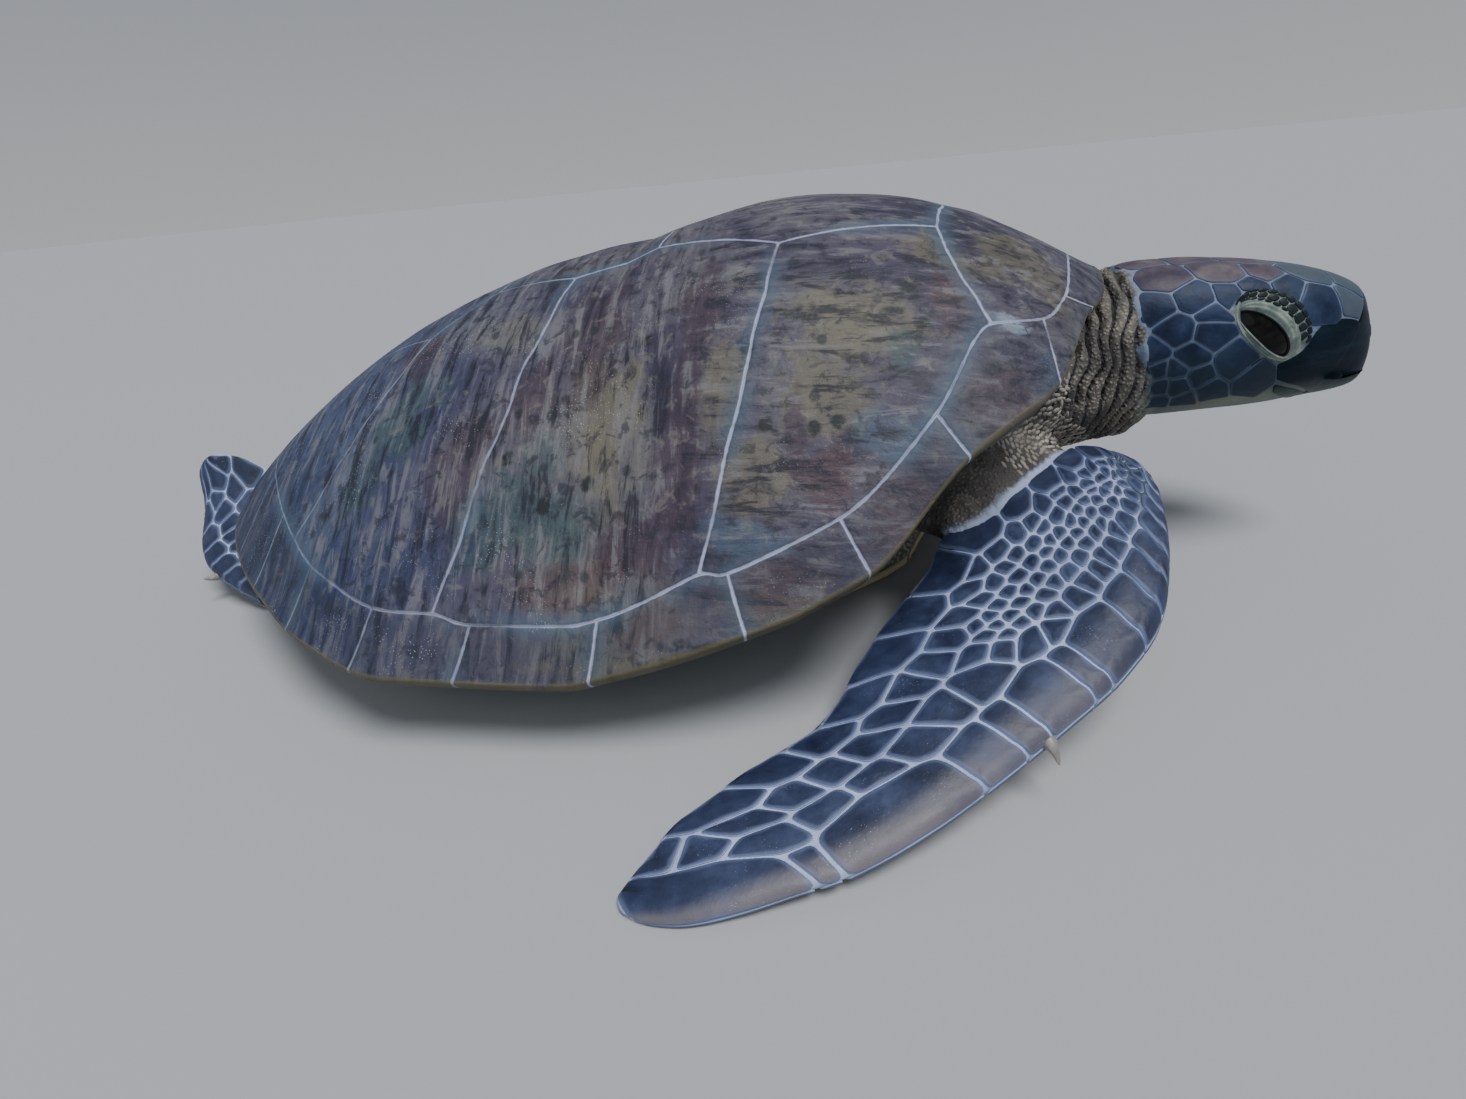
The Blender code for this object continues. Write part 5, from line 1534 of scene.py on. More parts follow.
def hind_scales(key):
    blade = BLADES[key]
    seeds = []
    for sign in (1, -1):
        for share, seams in HIND_SEAMS:
            for a, b in zip(seams, seams[1:]):
                u = (a + b) / 2
                seeds.append((u, sign * share * blade.width(u) + RNG.uniform(-1, 1) * 0.001,
                              abs(a - b) * 0.45))
    seeds = np.array(seeds)
    width = blade.width(seeds[:, 0])
    edge = np.abs(seeds[:, 1]) > 0.6 * width
    slope = (blade.width(seeds[:, 0] + 0.002) - blade.width(seeds[:, 0] - 0.002)) / 0.004
    beyond = mirrored_out(seeds[edge], width[edge], slope[edge])
    tip = seeds[seeds[:, 0] > 0.115].copy()
    tip[:, 0] = 2 * (blade.last + 0.0006) - tip[:, 0]
    root = seeds[seeds[:, 0] < 0.03].copy()
    root[:, 0] = -0.002 - root[:, 0]
    found = cells(seeds, np.concatenate([beyond, tip, root]), 0.00042)

    def to_skin(q, h):
        q = q.copy()
        width = blade.width(q[:, 0])
        q[:, 1] = np.clip(q[:, 1], -width, width)
        return blade.lifted(q, h * (0.4 + 0.6 * smoothstep(0.0, 0.004, width - np.abs(q[:, 1]))))

    shift = {"hind_right": 0.0, "hind_left": 0.5}[key]
    made = scale_piece(key + "_scales", [polygon for _, polygon in found], to_skin, SCALE_PAINT,
                       lambda q: np.stack([0.05 + q[:, 0] * 2.2, shift + 0.25 + q[:, 1] * 2.0], 1),
                       belly=lambda q: np.where(q[:, 1] < 0, 2.0 * smoothstep(0.0, -0.012, q[:, 1]), 0.0))
    settle(made, "scaled_skin")


# Head plates of one side: place along the head, distance from the top midline, radius.
HEAD_SEEDS = (
    (0.3642, 0.0285, 0.0100), (0.3565, 0.0475, 0.0085), (0.3751, 0.0445, 0.0090), (0.3925, 0.0428, 0.0075),
    (0.3915, 0.0235, 0.0115), (0.4045, 0.0375, 0.0080), (0.4225, 0.0330, 0.0085), (0.4375, 0.0375, 0.0105),
    (0.4120, 0.0225, 0.0085), (0.3812, 0.0545, 0.0062), (0.3645, 0.0625, 0.0088), (0.3812, 0.0660, 0.0078),
    (0.3520, 0.0730, 0.0070), (0.3722, 0.0782, 0.0070), (0.3965, 0.0820, 0.0085), (0.3640, 0.0872, 0.0052),
    (0.3655, 0.0985, 0.0062), (0.3774, 0.0925, 0.0055), (0.3865, 0.1040, 0.0078), (0.4110, 0.0945, 0.0105),
    (0.3540, 0.0860, 0.0050), (0.3545, 0.0975, 0.0060), (0.3530, 0.1100, 0.0060), (0.3720, 0.1110, 0.0062),
    (0.4340, 0.0140, 0.0110), (0.4540, 0.0105, 0.0100), (0.4560, 0.0270, 0.0060),
)
MIDLINE_SEEDS = ((0.3600, 0.0100), (0.3830, 0.0110), (0.4100, 0.0120))
HEAD_GHOSTS = ((0.3400, 0.0000), (0.3400, 0.0160), (0.3400, 0.0320), (0.3400, 0.0480), (0.3400, 0.0620),
               (0.3400, 0.0760), (0.3420, 0.0900), (0.3420, 0.1040), (0.3500, 0.1230), (0.3720, 0.1240),
               (0.3920, 0.1190), (0.4120, 0.1150), (0.4330, 0.1060), (0.4420, 0.0800), (0.4655, 0.0428),
               (0.4760, 0.0150), (0.4760, 0.0000), (0.4480, 0.0600))
# Border of the horny sheath behind the beak.
SHEATH = ((0.4665, 0.0312), (0.4600, 0.0350), (0.4510, 0.0410), (0.4425, 0.0480), (0.4390, 0.0560),
          (0.4378, 0.0640),
          (0.4320, 0.0718), (0.4215, 0.0802), (0.4250, 0.0880), (0.4400, 0.0876), (0.4665, 0.0805))
JAW = ((0.4665, 0.0830), (0.4400, 0.0902), (0.4275, 0.0915), (0.4310, 0.0975), (0.4450, 0.0990),
       (0.4665, 0.0960))


def head_scales():
    seeds, tones = [], []
    for side in (1, -1):
        for x, a, r in HEAD_SEEDS:
            seeds.append((x, a * side, r))
            tones.append(smoothstep(0.038, 0.022, a))
    for x, r in MIDLINE_SEEDS:
        seeds.append((x, 0.0, r))
        tones.append(1.0)
    ghosts = [(x, a * side, 0.0075) for x, a in HEAD_GHOSTS for side in (1, -1)]
    walls = [(LID_CENTRE * (1, side), LID_SLANT * (1, side), (LID_HALF[0] * 1.01, LID_HALF[1] * 1.01))
             for side in (1, -1)]
    found = cells(np.array(seeds), np.array(ghosts), 0.00036, walls)
    polygons = [clipped(polygon, np.array([1.0, 0.0]), 0.0, np.array([BEAK_X - 0.0003, 0.0])) for _,
                polygon in found]
    shades = [0.9 * tones[i] + 0.1 * RNG.uniform(0, 1) for i, _ in found]
    made = scale_piece("head_scales", polygons, HEAD.lifted, HEAD_SCALE_PAINT,
                       lambda q: np.stack([(q[:, 0] - 0.33) * 6.5, 0.5 + q[:, 1] * 3.4], 1),
                       height=0.9, pitch=0.0011, tones=shades)
    settle(made, "scaled_skin")


def lid_scales():
    """Two arcs of small beads on the upper lids."""
    beads = []
    for row, (share, low, high, size) in enumerate(((0.55, 1.12, 1.66, 0.0018), (0.79, 1.00, 1.80, 0.0023),
                                                    (1.04, 0.96, 1.88, 0.0020))):
        start, stop = low * math.pi, high * math.pi
        count = round((stop - start) * 0.0195 / (size * 2.15))
        for k in range(count):
            phi = start + (stop - start) * (k + 0.5 * (row % 2)) / count
            beads.append((phi * 0.0195, share * 0.0125, size * RNG.uniform(0.85, 1.15)))
    beads = np.array(beads)
    around = []
    for share, low, high in ((0.34, 1.06, 1.72), (1.25, 0.90, 1.94)):
        for phi in np.linspace(low * math.pi, high * math.pi, 16):
            around.append((phi * 0.0195, share * 0.0125, 0.0018))
    found = cells(beads, np.array(around), 0.00020)
    polygons = []
    for i, polygon in found:
        ray = polygon - beads[i, :2]
        far = np.linalg.norm(ray, axis=1)[:, None]
        polygons.append(beads[i, :2] + ray * np.minimum(1, beads[i, 2] * 1.25 / far))
    for side, name in ((1, "left"), (-1, "right")):
        def to_skin(q, h):
            phi, share = q[:, 0] / 0.0195, q[:, 1] / 0.0125
            spots, centre = lid_surface(phi, np.minimum(share, 0.97), side)
            beyond = lid_point(phi, share)
            beyond[:, 1] *= side
            spots = np.where((share > 0.97)[:, None], HEAD.lifted(beyond, np.full(len(q), 0.0003)), spots)
            return spots + unit(spots - centre) * h[:, None]

        made = scale_piece(f"lid_beads_{name}", polygons, to_skin, HEAD_SCALE_PAINT,
                           lambda q: np.stack([0.1 + q[:, 0] * 6, 0.3 + q[:, 1] * 20], 1),
                           height=1.3, pitch=0.0005, tones=[-1.0] * len(polygons))
        settle(made, "scaled_skin")


def sheath_plates():
    """The beak's horn running back over the cheeks."""
    for side, name in ((1, "left"), (-1, "right")):
        polygons = [np.array(SHEATH) * (1, side), np.array(JAW) * (1, side)]
        made = scale_piece(f"beak_sheath_{name}", polygons, HEAD.lifted, BEAK_PAINT,
                           lambda q: np.stack([0.1 + (q[:, 0] - 0.42) * 8,
                                               0.5 + (q[:, 1] - side * 0.06) * 8], 1),
                           height=0.8, pitch=0.0014)
        settle(made, "beak")


NOSTRIL_X, NOSTRIL_TURN = 0.4835, math.radians(52)      # along the head; angle up round its section


def beak_section(row_x, upper, lift):
    """The part of a head section over or under the mouth line."""
    top, low = head_top(row_x), head_low(row_x)
    middle, half = (top + low) / 2, (top - low) / 2
    level = max(MOUTH_Z, low + 0.0016) + 0.00015 if upper else MOUTH_Z - 0.00015
    share = float(np.clip((level - middle) / half, -0.985, 0.96))
    start = math.asin(math.copysign(abs(share) ** (SECTION_POWER / 2), share))
    low_turn, high_turn = (start, math.pi - start) if upper else (math.pi - start, 2 * math.pi + start)
    turn = np.linspace(low_turn, high_turn, 140)
    ring = head_raw(np.full(140, row_x), turn)
    middle_spot = np.array([row_x, YAW_SHIFT * (row_x - NAPE_X), middle])
    ring = ring + unit(ring - middle_spot) * lift
    inner = ring[::-1][1:-1:14] * 1.0
    inner[:, 2] = level
    return np.concatenate([ring, inner])


def build_beak():
    for upper, name in ((True, "upper_beak"), (False, "lower_beak")):
        reach = 0.4915
        while not upper and MOUTH_Z - head_low(reach) < 0.0022:
            reach -= 0.0002
        xs = BEAK_X + 0.0002 + (reach - BEAK_X - 0.0002) * (np.linspace(0, 1, 64) ** 0.85)
        rings = []
        for x in xs:
            end = smoothstep(0.4915, 0.486, x)
            x_here = x if upper else x - 0.0009 * smoothstep(BEAK_X, 0.475, x)
            rings.append(beak_section(float(x_here), upper, 0.0005 * float(end)))
        made = closed_loft(name, rings)
        made.data.materials.clear()
        made.data.materials.append(BEAK_PAINT)
        points, normals = mesh_points(made.data), mesh_normals(made.data)
        nostril = np.zeros(len(points))
        for turn in (NOSTRIL_TURN, math.pi - NOSTRIL_TURN):
            spot = head_raw(np.array([NOSTRIL_X]), np.array([turn]))[0]
            far = np.linalg.norm(points - spot, axis=1)
            depth = 0.0022 * smoothstep(0.0017, 0.0006, far) - 0.0004 * bump_at(far, 0.0030, 0.0010)
            points -= normals * depth[:, None]
            nostril += smoothstep(0.0020, 0.0013, far) + 0.45 * bump_at(far, 0.0027, 0.0010)
        made.data.vertices.foreach_set("co", points.ravel())
        add_attribute(made.data, "nostril", np.minimum(nostril, 1))
        settle(made, "beak", name)


def build_eyes():
    for side, name in ((1, "left"), (-1, "right")):
        ball = eye_ball("eye_" + name, side)
        ball.data.materials.append(EYE_PAINT)
        settle(ball, "eye", "eye_" + name)


def scale_paint():
    """Slate-blue horn, paler towards its seams, brown-grey along the leading edge, cream underneath."""
    p = Paint("flipper scales")
    tone, edge, fade = p.attribute("tone"), p.attribute("edge"), p.attribute("fade")
    cloud = p.noise(42.0, 5, 0.6)
    colour = p.ramp(cloud, ((0.32, (0.008, 0.013, 0.034)), (0.5, (0.020, 0.030, 0.072)),
                            (0.68, (0.046, 0.066, 0.140))))
    colour = p.mix(p.remap(tone, 0.0, 1.0, 0.0, 0.35), colour, (0.016, 0.026, 0.072))
    brown = p.times(p.remap(fade, 0.0, 1.0), p.remap(p.noise(20.0, 4), 0.3, 0.6, 0.55, 1.0))
    colour = p.mix(p.times(brown, 0.8), colour, (0.190, 0.172, 0.185))
    pale = p.remap(edge, 0.0030, 0.0003, 0.0, 0.46)
    colour = p.mix(pale, colour, (0.17, 0.22, 0.38))
    rim = p.remap(edge, 0.0004, 0.0001, 0.0, 0.8)
    colour = p.mix(rim, colour, (0.36, 0.42, 0.66))
    below = p.remap(fade, 1.1, 1.6)
    cream = p.ramp(p.noise(30.0, 4), ((0.35, (0.42, 0.40, 0.33)), (0.65, (0.60, 0.57, 0.46))))
    blotch = p.times(p.remap(edge, 0.0025, 0.007), p.remap(tone, 0.35, 0.75))
    cream = p.mix(p.times(blotch, 0.75), cream, (0.10, 0.11, 0.15))
    colour = p.mix(below, colour, cream)
    speck = p.times(p.remap(p.cells(700.0), 0.16, 0.07), p.remap(p.noise(50.0, 4), 0.52, 0.64))
    colour = p.mix(p.times(speck, 0.8), colour, (0.45, 0.48, 0.60))
    normal = p.bump(p.noise(300.0, 5, 0.65), 0.0003, p.bump(p.noise(80.0, 4), 0.0005))
    return p.finish(colour, p.remap(cloud, 0.3, 0.7, 0.46, 0.60, False), normal, specular=0.45)


def head_scale_paint():
    p = Paint("head plates")
    tone, edge = p.attribute("tone"), p.attribute("edge")
    cloud = p.noise(60.0, 5, 0.6)
    dark = p.ramp(cloud, ((0.34, (0.006, 0.013, 0.034)), (0.5, (0.012, 0.025, 0.062)),
                          (0.66, (0.025, 0.043, 0.095))))
    z = p.axis(2)
    dark = p.mix(p.remap(z, 0.150, 0.120, 0.0, 0.65), dark, (0.010, 0.024, 0.034))
    mauve = p.ramp(cloud, ((0.34, (0.050, 0.038, 0.060)), (0.5, (0.085, 0.064, 0.084)),
                           (0.68, (0.135, 0.118, 0.125))))
    dark = p.mix(p.remap(tone, -0.2, -0.8), dark, (0.008, 0.016, 0.018))
    colour = p.mix(p.remap(tone, 0.25, 0.75), dark, mauve)
    front = p.times(p.remap(p.axis(0), 0.412, 0.432), p.remap(tone, 0.2, 0.5))
    colour = p.mix(p.times(front, 0.75), colour, (0.050, 0.085, 0.110))
    pale = p.times(p.remap(edge, 0.0016, 0.0002, 0.0, 0.42), p.remap(tone, -0.8, -0.2))
    colour = p.mix(pale, colour, (0.10, 0.14, 0.25))
    normal = p.bump(p.noise(420.0, 5, 0.65), 0.0002, p.bump(p.noise(120.0, 4), 0.0004))
    return p.finish(colour, p.remap(cloud, 0.3, 0.7, 0.42, 0.58, False), normal, specular=0.22)


def beak_paint():
    p = Paint("beak horn")
    streak = p.noise(1.0, 5, 0.6, p.stretched((40, 40, 160)))
    colour = p.ramp(streak, ((0.3, (0.002, 0.006, 0.012)), (0.55, (0.005, 0.013, 0.024)),
                             (0.75, (0.014, 0.028, 0.044))))
    low = p.remap(p.axis(2), 0.118, 0.104)
    colour = p.mix(low, colour, (0.060, 0.085, 0.078))
    upper = p.remap(p.axis(2), 0.150, 0.162)
    colour = p.mix(p.times(upper, 0.7), colour, (0.035, 0.055, 0.090))
    nostril = p.attribute("nostril")
    colour = p.mix(p.remap(nostril, 0.10, 0.50, 0.0, 0.38), colour, (0.090, 0.120, 0.155))
    # Painted shade: near-black centre of each nostril, standing in for the dark of its hole.
    colour = p.mix(p.remap(nostril, 0.62, 0.90), colour, (0.001, 0.002, 0.003))
    normal = p.bump(streak, 0.0003, p.bump(p.noise(160.0, 4), 0.0003))
    return p.finish(colour, p.remap(streak, 0.3, 0.7, 0.36, 0.50, False), normal, specular=0.07)


def eye_paint():
    p = Paint("eye")
    fine = p.noise(240.0, 4)
    colour = p.ramp(fine, ((0.35, (0.0015, 0.0018, 0.002)), (0.65, (0.010, 0.009, 0.008))))
    return p.finish(colour, p.remap(fine, 0.3, 0.7, 0.10, 0.16, False), p.bump(fine, 0.00002),
                    specular=0.16)


SCALE_PAINT, HEAD_SCALE_PAINT, BEAK_PAINT, EYE_PAINT = scale_paint(), head_scale_paint(), beak_paint(), eye_paint()
for blade_key in BLADES:
    (fore_scales if blade_key.startswith("fore") else hind_scales)(blade_key)
head_scales()
lid_scales()
sheath_plates()
build_beak()
build_eyes()


# ---- Skin markings -----------------------------------------------------------------------------------
def lid_shares(points):
    """For points on the lids: 1 on their skin, up to 2 at the very edge of the opening; 0 elsewhere."""
    phi, share = np.meshgrid(np.linspace(0, 2 * math.pi, 140), np.linspace(0, 1, 26))
    mark = np.zeros(len(points))
    for side in (1, -1):
        spots, centre = lid_surface(phi.ravel(), share.ravel(), side)
        tree = find_nearest(spots)
        for i in np.flatnonzero(np.linalg.norm(points - centre, axis=1) < 0.034):
            _, k, far = tree.find(points[i])
            if far < 0.0022:
                value = share.ravel()[k]
                mark[i] = smoothstep(1.02, 0.94, value) + smoothstep(0.05, 0.0, value)
            # Skin of the socket's wall inside the lids gets 2, painted near-black as shade.
            elif np.linalg.norm(points[i] - centre) < 0.024:
                mark[i] = 2.0
    return mark


def dress_skin():
    """Where the skin carries scales it is pale; under the throat and the belly it is greenish cream, darkened in
    part as painted shade.
    """
    mesh = SKIN.data
    points = mesh_points(mesh)
    spots = np.concatenate([mesh_points(made.data) for made in bpy.data.objects if made.name.endswith("_scales")])
    tree = find_nearest(spots)
    far = np.array([tree.find(point)[2] for point in points])
    x = points[:, 0] - head_lean(points[:, 0]) * (points[:, 2] - 0.136)
    scaled = np.maximum(smoothstep(0.0028, 0.0016, far), smoothstep(0.3495, 0.3520, x))
    points[:, 2] = np.maximum(points[:, 2], 0.0002 * (far < 0.003))
    mesh.vertices.foreach_set("co", points.ravel())
    lid = lid_shares(points)
    add_attribute(mesh, "scaled", scaled * (1 - np.minimum(lid, 1)))
    add_attribute(mesh, "lid", lid)
    low = smoothstep(0.118, 0.106, points[:, 2]) * smoothstep(0.335, 0.350, x)
    under = (np.abs(points[:, 1]) < 0.22) * (np.abs(points[:, 0]) < 0.28) * (points[:, 2] < 0.04)
    low = np.maximum(low, under * smoothstep(0.010, 0.016, far))
    add_attribute(mesh, "low", low * (1 - np.minimum(lid, 1)))
    neck = smoothstep(0.262, 0.296, points[:, 0]) * smoothstep(0.3525, 0.3485,
                                                               x) * (np.abs(points[:, 1]) < 0.075)
    # Mask for painted shade in the gaps between the neck's folds.
    crease = neck * smoothstep(0.066, 0.088, points[:, 2]) * smoothstep(0.74, 0.40, fold(points))
    add_attribute(mesh, "crease", crease)
    across = np.abs(points[:, 1])
    shoulder = (points[:, 0] > 0.13) & (across > 0.055) & (across < 0.24) & (points[:, 2] > 0.012) & (points[:, 2] < 0.135)
    low_neck = (points[:, 0] > 0.255) & (points[:, 2] < 0.150 - 0.9 * (points[:,
                                                                              0] - 0.255)) & (across < 0.085)
    for key in ("fore_right", "fore_left"):
        blade = BLADES[key]
        local = points * (1, blade.mirror, 1) - blade.root + (0, 0, blade.drop)
        u = local @ blade.axis
        shoulder &= (u < 0.004) | (local @ blade.frame(np.zeros(1))[0][0] > 0.12)
    bare = (far > 0.0040) & (x < 0.342) & (shoulder & (points[:, 0] < 0.300) | low_neck & (points[:,
                                                                                                  0] < 0.322))
    add_attribute(mesh, "beaded", bare.astype(float))
    run = BLADES["fore_right"].frame(np.zeros(1))[0][0]
    way = np.where((points[:, 1] < 0)[:, None], run, run * (1, -1, 1))
    add_attribute(mesh, "bead_way", np.where(low_neck[:, None], (0.9, 0.25, 0.5), way))
    settle(SKIN, "skin", *SKIN_NODES)


BEAD_POINTS = 34            # points of one bead


# ---- Beads of the shoulders and throat ------------------------------------------------------------------
def bead_tree():
    """Small flattened beads spread evenly over the skin where its beaded mark is set."""
    tree = bpy.data.node_groups.new("skin beads", "GeometryNodeTree")
    face = tree.interface
    face.new_socket("Geometry", in_out="INPUT", socket_type="NodeSocketGeometry")
    sockets = {name: face.new_socket(name, in_out="INPUT", socket_type=kind).identifier
               for name, kind in (("Spacing", "NodeSocketFloat"), ("Length", "NodeSocketFloat"),
                                  ("Seed", "NodeSocketInt"), ("Paint", "NodeSocketMaterial"))}
    face.new_socket("Geometry", in_out="OUTPUT", socket_type="NodeSocketGeometry")
    add, link = tree.nodes.new, tree.links.new
    start, end = add("NodeGroupInput"), add("NodeGroupOutput")
    mask = add("GeometryNodeInputNamedAttribute")
    mask.inputs["Name"].default_value = "beaded"
    spread = add("GeometryNodeDistributePointsOnFaces")
    spread.distribute_method = "POISSON"
    spread.inputs["Density Max"].default_value = 400000
    link(start.outputs["Geometry"], spread.inputs["Mesh"])
    link(start.outputs["Spacing"], spread.inputs["Distance Min"])
    link(mask.outputs["Attribute"], spread.inputs["Density Factor"])
    link(start.outputs["Seed"], spread.inputs["Seed"])
    way = add("GeometryNodeInputNamedAttribute")
    way.data_type = "FLOAT_VECTOR"
    way.inputs["Name"].default_value = "bead_way"
    turn = add("FunctionNodeAlignRotationToVector")
    turn.axis, turn.pivot_axis = "X", "Z"
    link(spread.outputs["Rotation"], turn.inputs["Rotation"])
    link(way.outputs["Attribute"], turn.inputs["Vector"])
    ball = add("GeometryNodeMeshUVSphere")
    ball.inputs["Segments"].default_value = 8
    ball.inputs["Rings"].default_value = 5
    ball.inputs["Radius"].default_value = 1.0
    size = add("FunctionNodeRandomValue")
    size.data_type = "FLOAT_VECTOR"
    size.inputs[0].default_value = (0.80, 0.46, 0.20)
    size.inputs[1].default_value = (1.20, 0.62, 0.30)
    link(start.outputs["Seed"], size.inputs["Seed"])
    scale = add("ShaderNodeVectorMath")
    scale.operation = "SCALE"
    link(size.outputs[0], scale.inputs[0])
    link(start.outputs["Length"], scale.inputs["Scale"])
    place = add("GeometryNodeInstanceOnPoints")
    link(spread.outputs["Points"], place.inputs["Points"])
    link(ball.outputs["Mesh"], place.inputs["Instance"])
    link(turn.outputs["Rotation"], place.inputs["Rotation"])
    link(scale.outputs["Vector"], place.inputs["Scale"])
    root = add("GeometryNodeStoreNamedAttribute")
    root.data_type, root.domain = "FLOAT_VECTOR", "INSTANCE"
    root.inputs["Name"].default_value = "root"
    link(place.outputs["Instances"], root.inputs["Geometry"])
    link(add("GeometryNodeInputPosition").outputs[0], root.inputs["Value"])
    real = add("GeometryNodeRealizeInstances")
    link(root.outputs["Geometry"], real.inputs["Geometry"])
    coat = add("GeometryNodeSetMaterial")
    link(real.outputs["Geometry"], coat.inputs["Geometry"])
    link(start.outputs["Paint"], coat.inputs["Material"])
    link(coat.outputs["Geometry"], end.inputs["Geometry"])
    return tree, sockets


def add_beads():
    tree, sockets = bead_tree()
    modifier = SKIN.modifiers.new("beads", "NODES")
    modifier.node_group = tree
    for name, value in (("Spacing", 0.0029), ("Length", 0.0024), ("Seed", 4), ("Paint", BEAD_PAINT)):
        modifier[sockets[name]] = value
    graph = bpy.context.evaluated_depsgraph_get()
    mesh = bpy.data.meshes.new_from_object(SKIN.evaluated_get(graph))
    SKIN.modifiers.clear()
    made = bpy.data.objects.new("skin_beads", mesh)
    bpy.context.scene.collection.objects.link(made)
    mesh.shade_smooth()
    settle(made, "skin")
    return made


def bead_paint():
    p = Paint("skin beads")
    cloud = p.noise(60.0, 4, 0.6)
    colour = p.ramp(cloud, ((0.32, (0.150, 0.138, 0.125)), (0.5, (0.270, 0.250, 0.215)),
                            (0.7, (0.420, 0.395, 0.335))))
    normal = p.bump(p.noise(500.0, 3), 0.0002)
    return p.finish(colour, p.remap(cloud, 0.3, 0.7, 0.52, 0.66, False), normal, specular=0.38)


# ---- Claws ---------------------------------------------------------------------------------------------
def build_claw(key, u, length, radius, sweep, node):
    blade = BLADES[key]
    at = np.array([u])
    chord = blade.frame(at)[0][0]
    base = blade.place(at, blade.lead(at) - 3 * GAP, np.zeros(1))[0]
    up = unit(np.cross(blade.axis, chord))
    turn = np.linspace(0, 2 * math.pi, 28, endpoint=False)[:, None]
    rings = []
    for share in np.linspace(-0.12, 1, 22):
        size = radius * math.sqrt(max(1 - max(share, 0), 0.0)) ** 1.15 + 0.00012
        centre = base - chord * length * share + sweep * max(share, 0) ** 2
        rings.append((centre + (blade.axis * np.cos(turn) + up * np.sin(turn)) * size) * (1, blade.mirror, 1))
    made = closed_loft(node, rings)
    made.data.materials.clear()
    made.data.materials.append(CLAW_PAINT)
    settle(made, "claw", node)


def claw_paint():
    p = Paint("claw horn")
    streak = p.noise(1.0, 5, 0.6, p.stretched((220, 220, 90)))
    colour = p.ramp(streak, ((0.3, (0.16, 0.15, 0.14)), (0.55, (0.30, 0.29, 0.27)), (0.75, (0.42, 0.41,
                                                                                            0.38))))
    return p.finish(colour, p.remap(streak, 0.3, 0.7, 0.32, 0.46, False), p.bump(streak, 0.0002))


# ---- Plastron ------------------------------------------------------------------------------------------
PLASTRON_SEAMS = (0.205, 0.150, 0.078, -0.012, -0.100, -0.172)


def plastron_outline():
    """Half width of the plastron along the body."""
    spots = []
    for place in np.linspace(0, 18, 400):
        rim = shell_point(rim_sv(rim_place(place)))
        seam_spot = shell_point(np.array([inner_s(place), inner_v(place)]))
        core = np.array([np.clip(rim[0], HIP_X, SHOULDER_X), 0, 0])
        plan = np.array([1, 1, 0])
        inward = unit(unit((core - rim) * plan) + unit((seam_spot - rim) * plan))
        under = rim + inward * (UNDERLAP + 0.001)
        spots.append(under * (1 - PLASTRON_SHARE) + core * PLASTRON_SHARE)
    spots = np.array(spots)
    spots = spots[spots[:, 1] >= 0]
    spots = spots[np.argsort(spots[:, 0])]
    return spots[:, 0], spots[:, 1]


def build_plastron():
    keys, widths = plastron_outline()
    reach = (keys[-1] - keys[0]) / 2 * 0.9995
    even = np.linspace(-1, 1, 340)
    xs = (keys[-1] + keys[0]) / 2 + reach * (0.85 * even + 0.15 * np.sin(even * math.pi / 2))
    rings, marks = [], []
    for x in xs:
        half = max(float(np.interp(x, keys, widths)) - 0.0012, 0.0004)
        share = np.linspace(-1, 1, 160)
        y = share * half
        far = np.minimum(np.abs(y), np.min([np.abs(x - seam - 0.10 * np.abs(y)) for seam in PLASTRON_SEAMS], axis=0))
        if -0.11 < x < 0.13:
            far = np.minimum(far, np.abs(np.abs(y) - 0.74 * half))
        low = belly_height(x) + 0.0006 * np.exp(-(far / 0.0013) ** 2) + 0.0018 * smoothstep(0.004, 0.0,
                                                                                            half - np.abs(y))
        bottom = np.stack([np.full(160, x), y, low], 1)
        top = np.stack([np.full(32, x), y[::-5], np.full(32, belly_height(x) + PLASTRON_PLATE)], 1)
        rings.append(np.concatenate([bottom, top]))
        marks.append(np.concatenate([far, np.full(32, 0.02)]))
    made = closed_loft("plastron", rings)
    made.data.materials.clear()
    made.data.materials.append(plastron_paint())
    marks = np.concatenate(marks)
    add_attribute(made.data, "edge", np.concatenate([marks, np.zeros(len(made.data.vertices) - len(marks))]))
    settle(made, "plastron", "plastron")


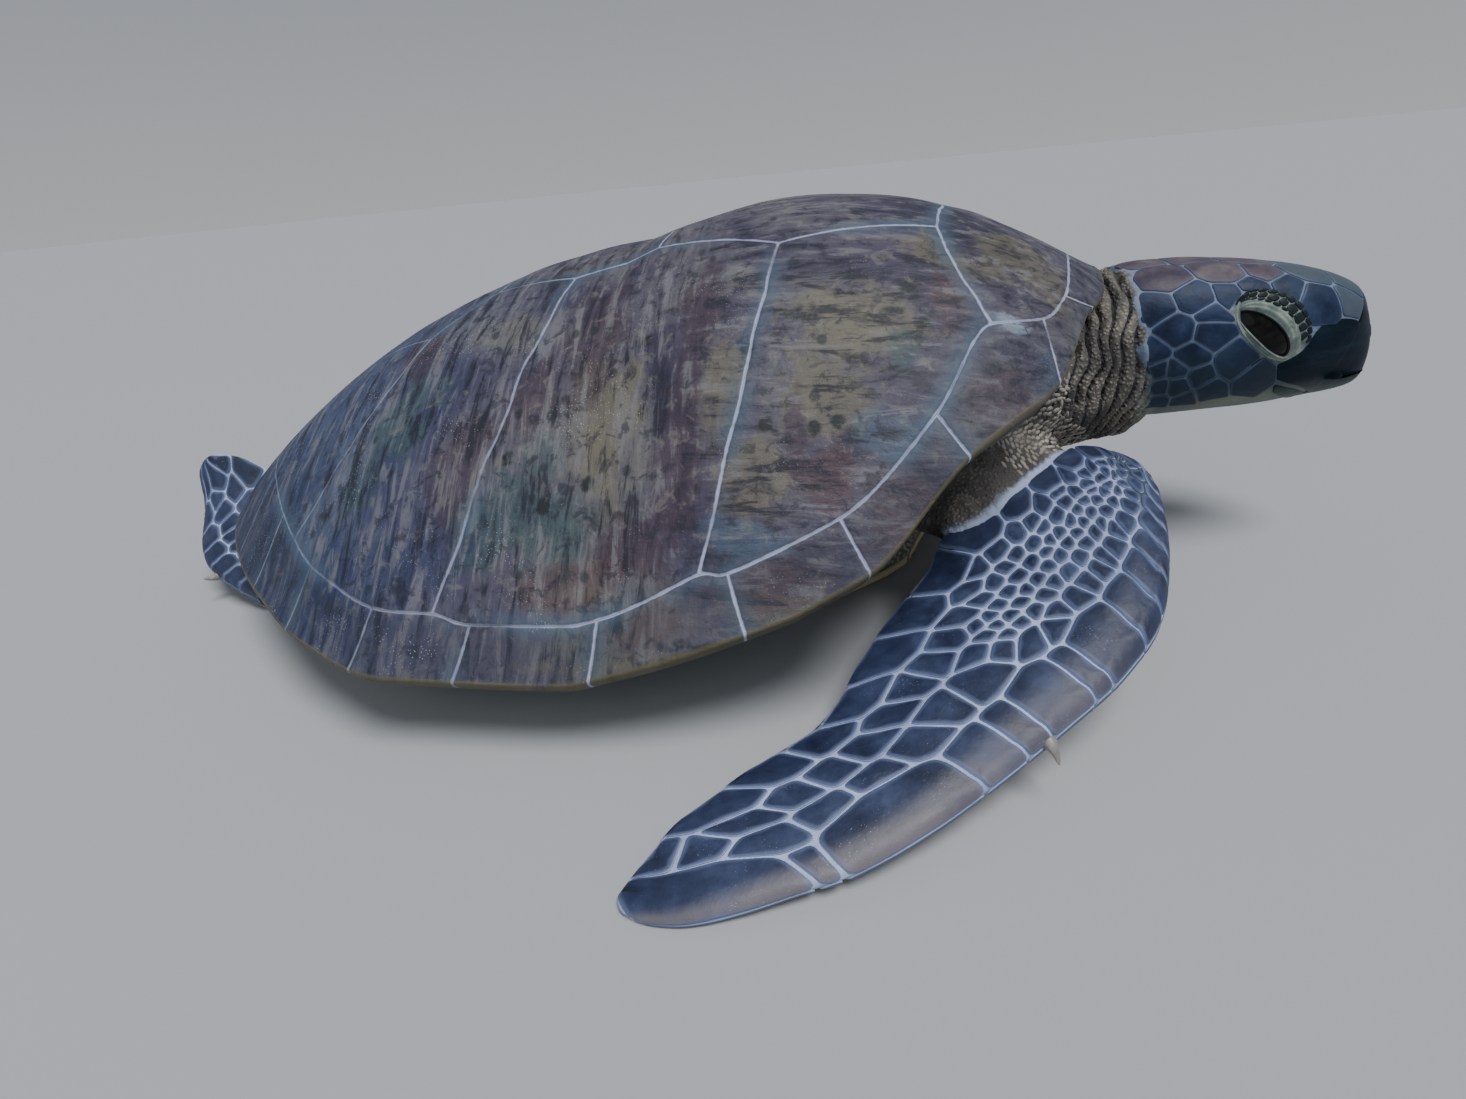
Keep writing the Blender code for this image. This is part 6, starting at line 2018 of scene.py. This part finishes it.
def plastron_paint():
    p = Paint("plastron horn")
    cloud = p.noise(16.0, 5, 0.6)
    streak = p.noise(1.0, 5, 0.6, p.stretched((24, 150, 60)))
    colour = p.ramp(cloud, ((0.3, (0.40, 0.34, 0.20)), (0.55, (0.52, 0.46, 0.29)), (0.75, (0.60, 0.55,
                                                                                           0.38))))
    colour = p.mix(p.remap(streak, 0.55, 0.72, 0.0, 0.45), colour, (0.36, 0.28, 0.15))
    colour = p.mix(p.remap(p.attribute("edge"), 0.0022, 0.0006, 0.0, 0.7), colour, (0.20, 0.16, 0.09))
    normal = p.bump(streak, 0.0003, p.bump(p.noise(120.0, 4), 0.0003))
    return p.finish(colour, p.remap(cloud, 0.3, 0.7, 0.40, 0.55, False), normal, specular=0.4)


# ---- Flat maps for the bake -----------------------------------------------------------------------------
def unfold(made):
    """An unwrap of the piece's own shape, without overlaps, as its OFBake map."""
    set_bake_map(made.data, np.zeros((len(made.data.vertices), 2)))
    for other in bpy.context.view_layer.objects:
        other.select_set(other == made)
    bpy.context.view_layer.objects.active = made
    bpy.ops.object.mode_set(mode="EDIT")
    bpy.ops.mesh.select_all(action="SELECT")
    bpy.ops.uv.smart_project(angle_limit=math.radians(66), island_margin=0.002)
    bpy.ops.object.mode_set(mode="OBJECT")


def map_beads(beads):
    """Every bead a small patch at its root's place on the skin's own map."""
    skin, mesh = SKIN.data, beads.data
    corner_point, where = np.empty(len(skin.loops), int), np.empty((len(skin.loops), 2))
    skin.loops.foreach_get("vertex_index", corner_point)
    skin.uv_layers["OFBake"].data.foreach_get("uv", where.ravel())
    place = np.empty((len(skin.vertices), 2))
    place[corner_point] = where
    tree = find_nearest(mesh_points(skin))
    points = mesh_points(mesh)
    root = np.empty((len(points), 3))
    mesh.attributes["root"].data.foreach_get("vector", root.ravel())
    uv = np.empty((len(points), 2))
    for start in range(0, len(points), BEAD_POINTS):
        block = slice(start, start + BEAD_POINTS)
        offset = points[block] - root[start]
        uv[block] = place[tree.find(root[start])[1]] + offset[:, :2] / np.abs(offset).max() * 0.0015
    set_bake_map(mesh, np.clip(uv, 0, 1))


BEAD_PAINT, CLAW_PAINT = bead_paint(), claw_paint()
build_plastron()
dress_skin()
beads = add_beads()
for side_name in ("right", "left"):
    build_claw("fore_" + side_name, FORE_CLAW_U, 0.0060, 0.0034, np.array((0, 0, -0.0075)),
               "fore_claw_" + side_name)
    hind = BLADES["hind_" + side_name]
    build_claw("hind_" + side_name, HIND_CLAW_U, 0.0085, 0.0026, hind.axis * 0.004, "hind_claw_" + side_name)
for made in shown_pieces():
    if made.type == "MESH" and "OFBake" not in made.data.uv_layers and made is not beads:
        unfold(made)
map_beads(beads)
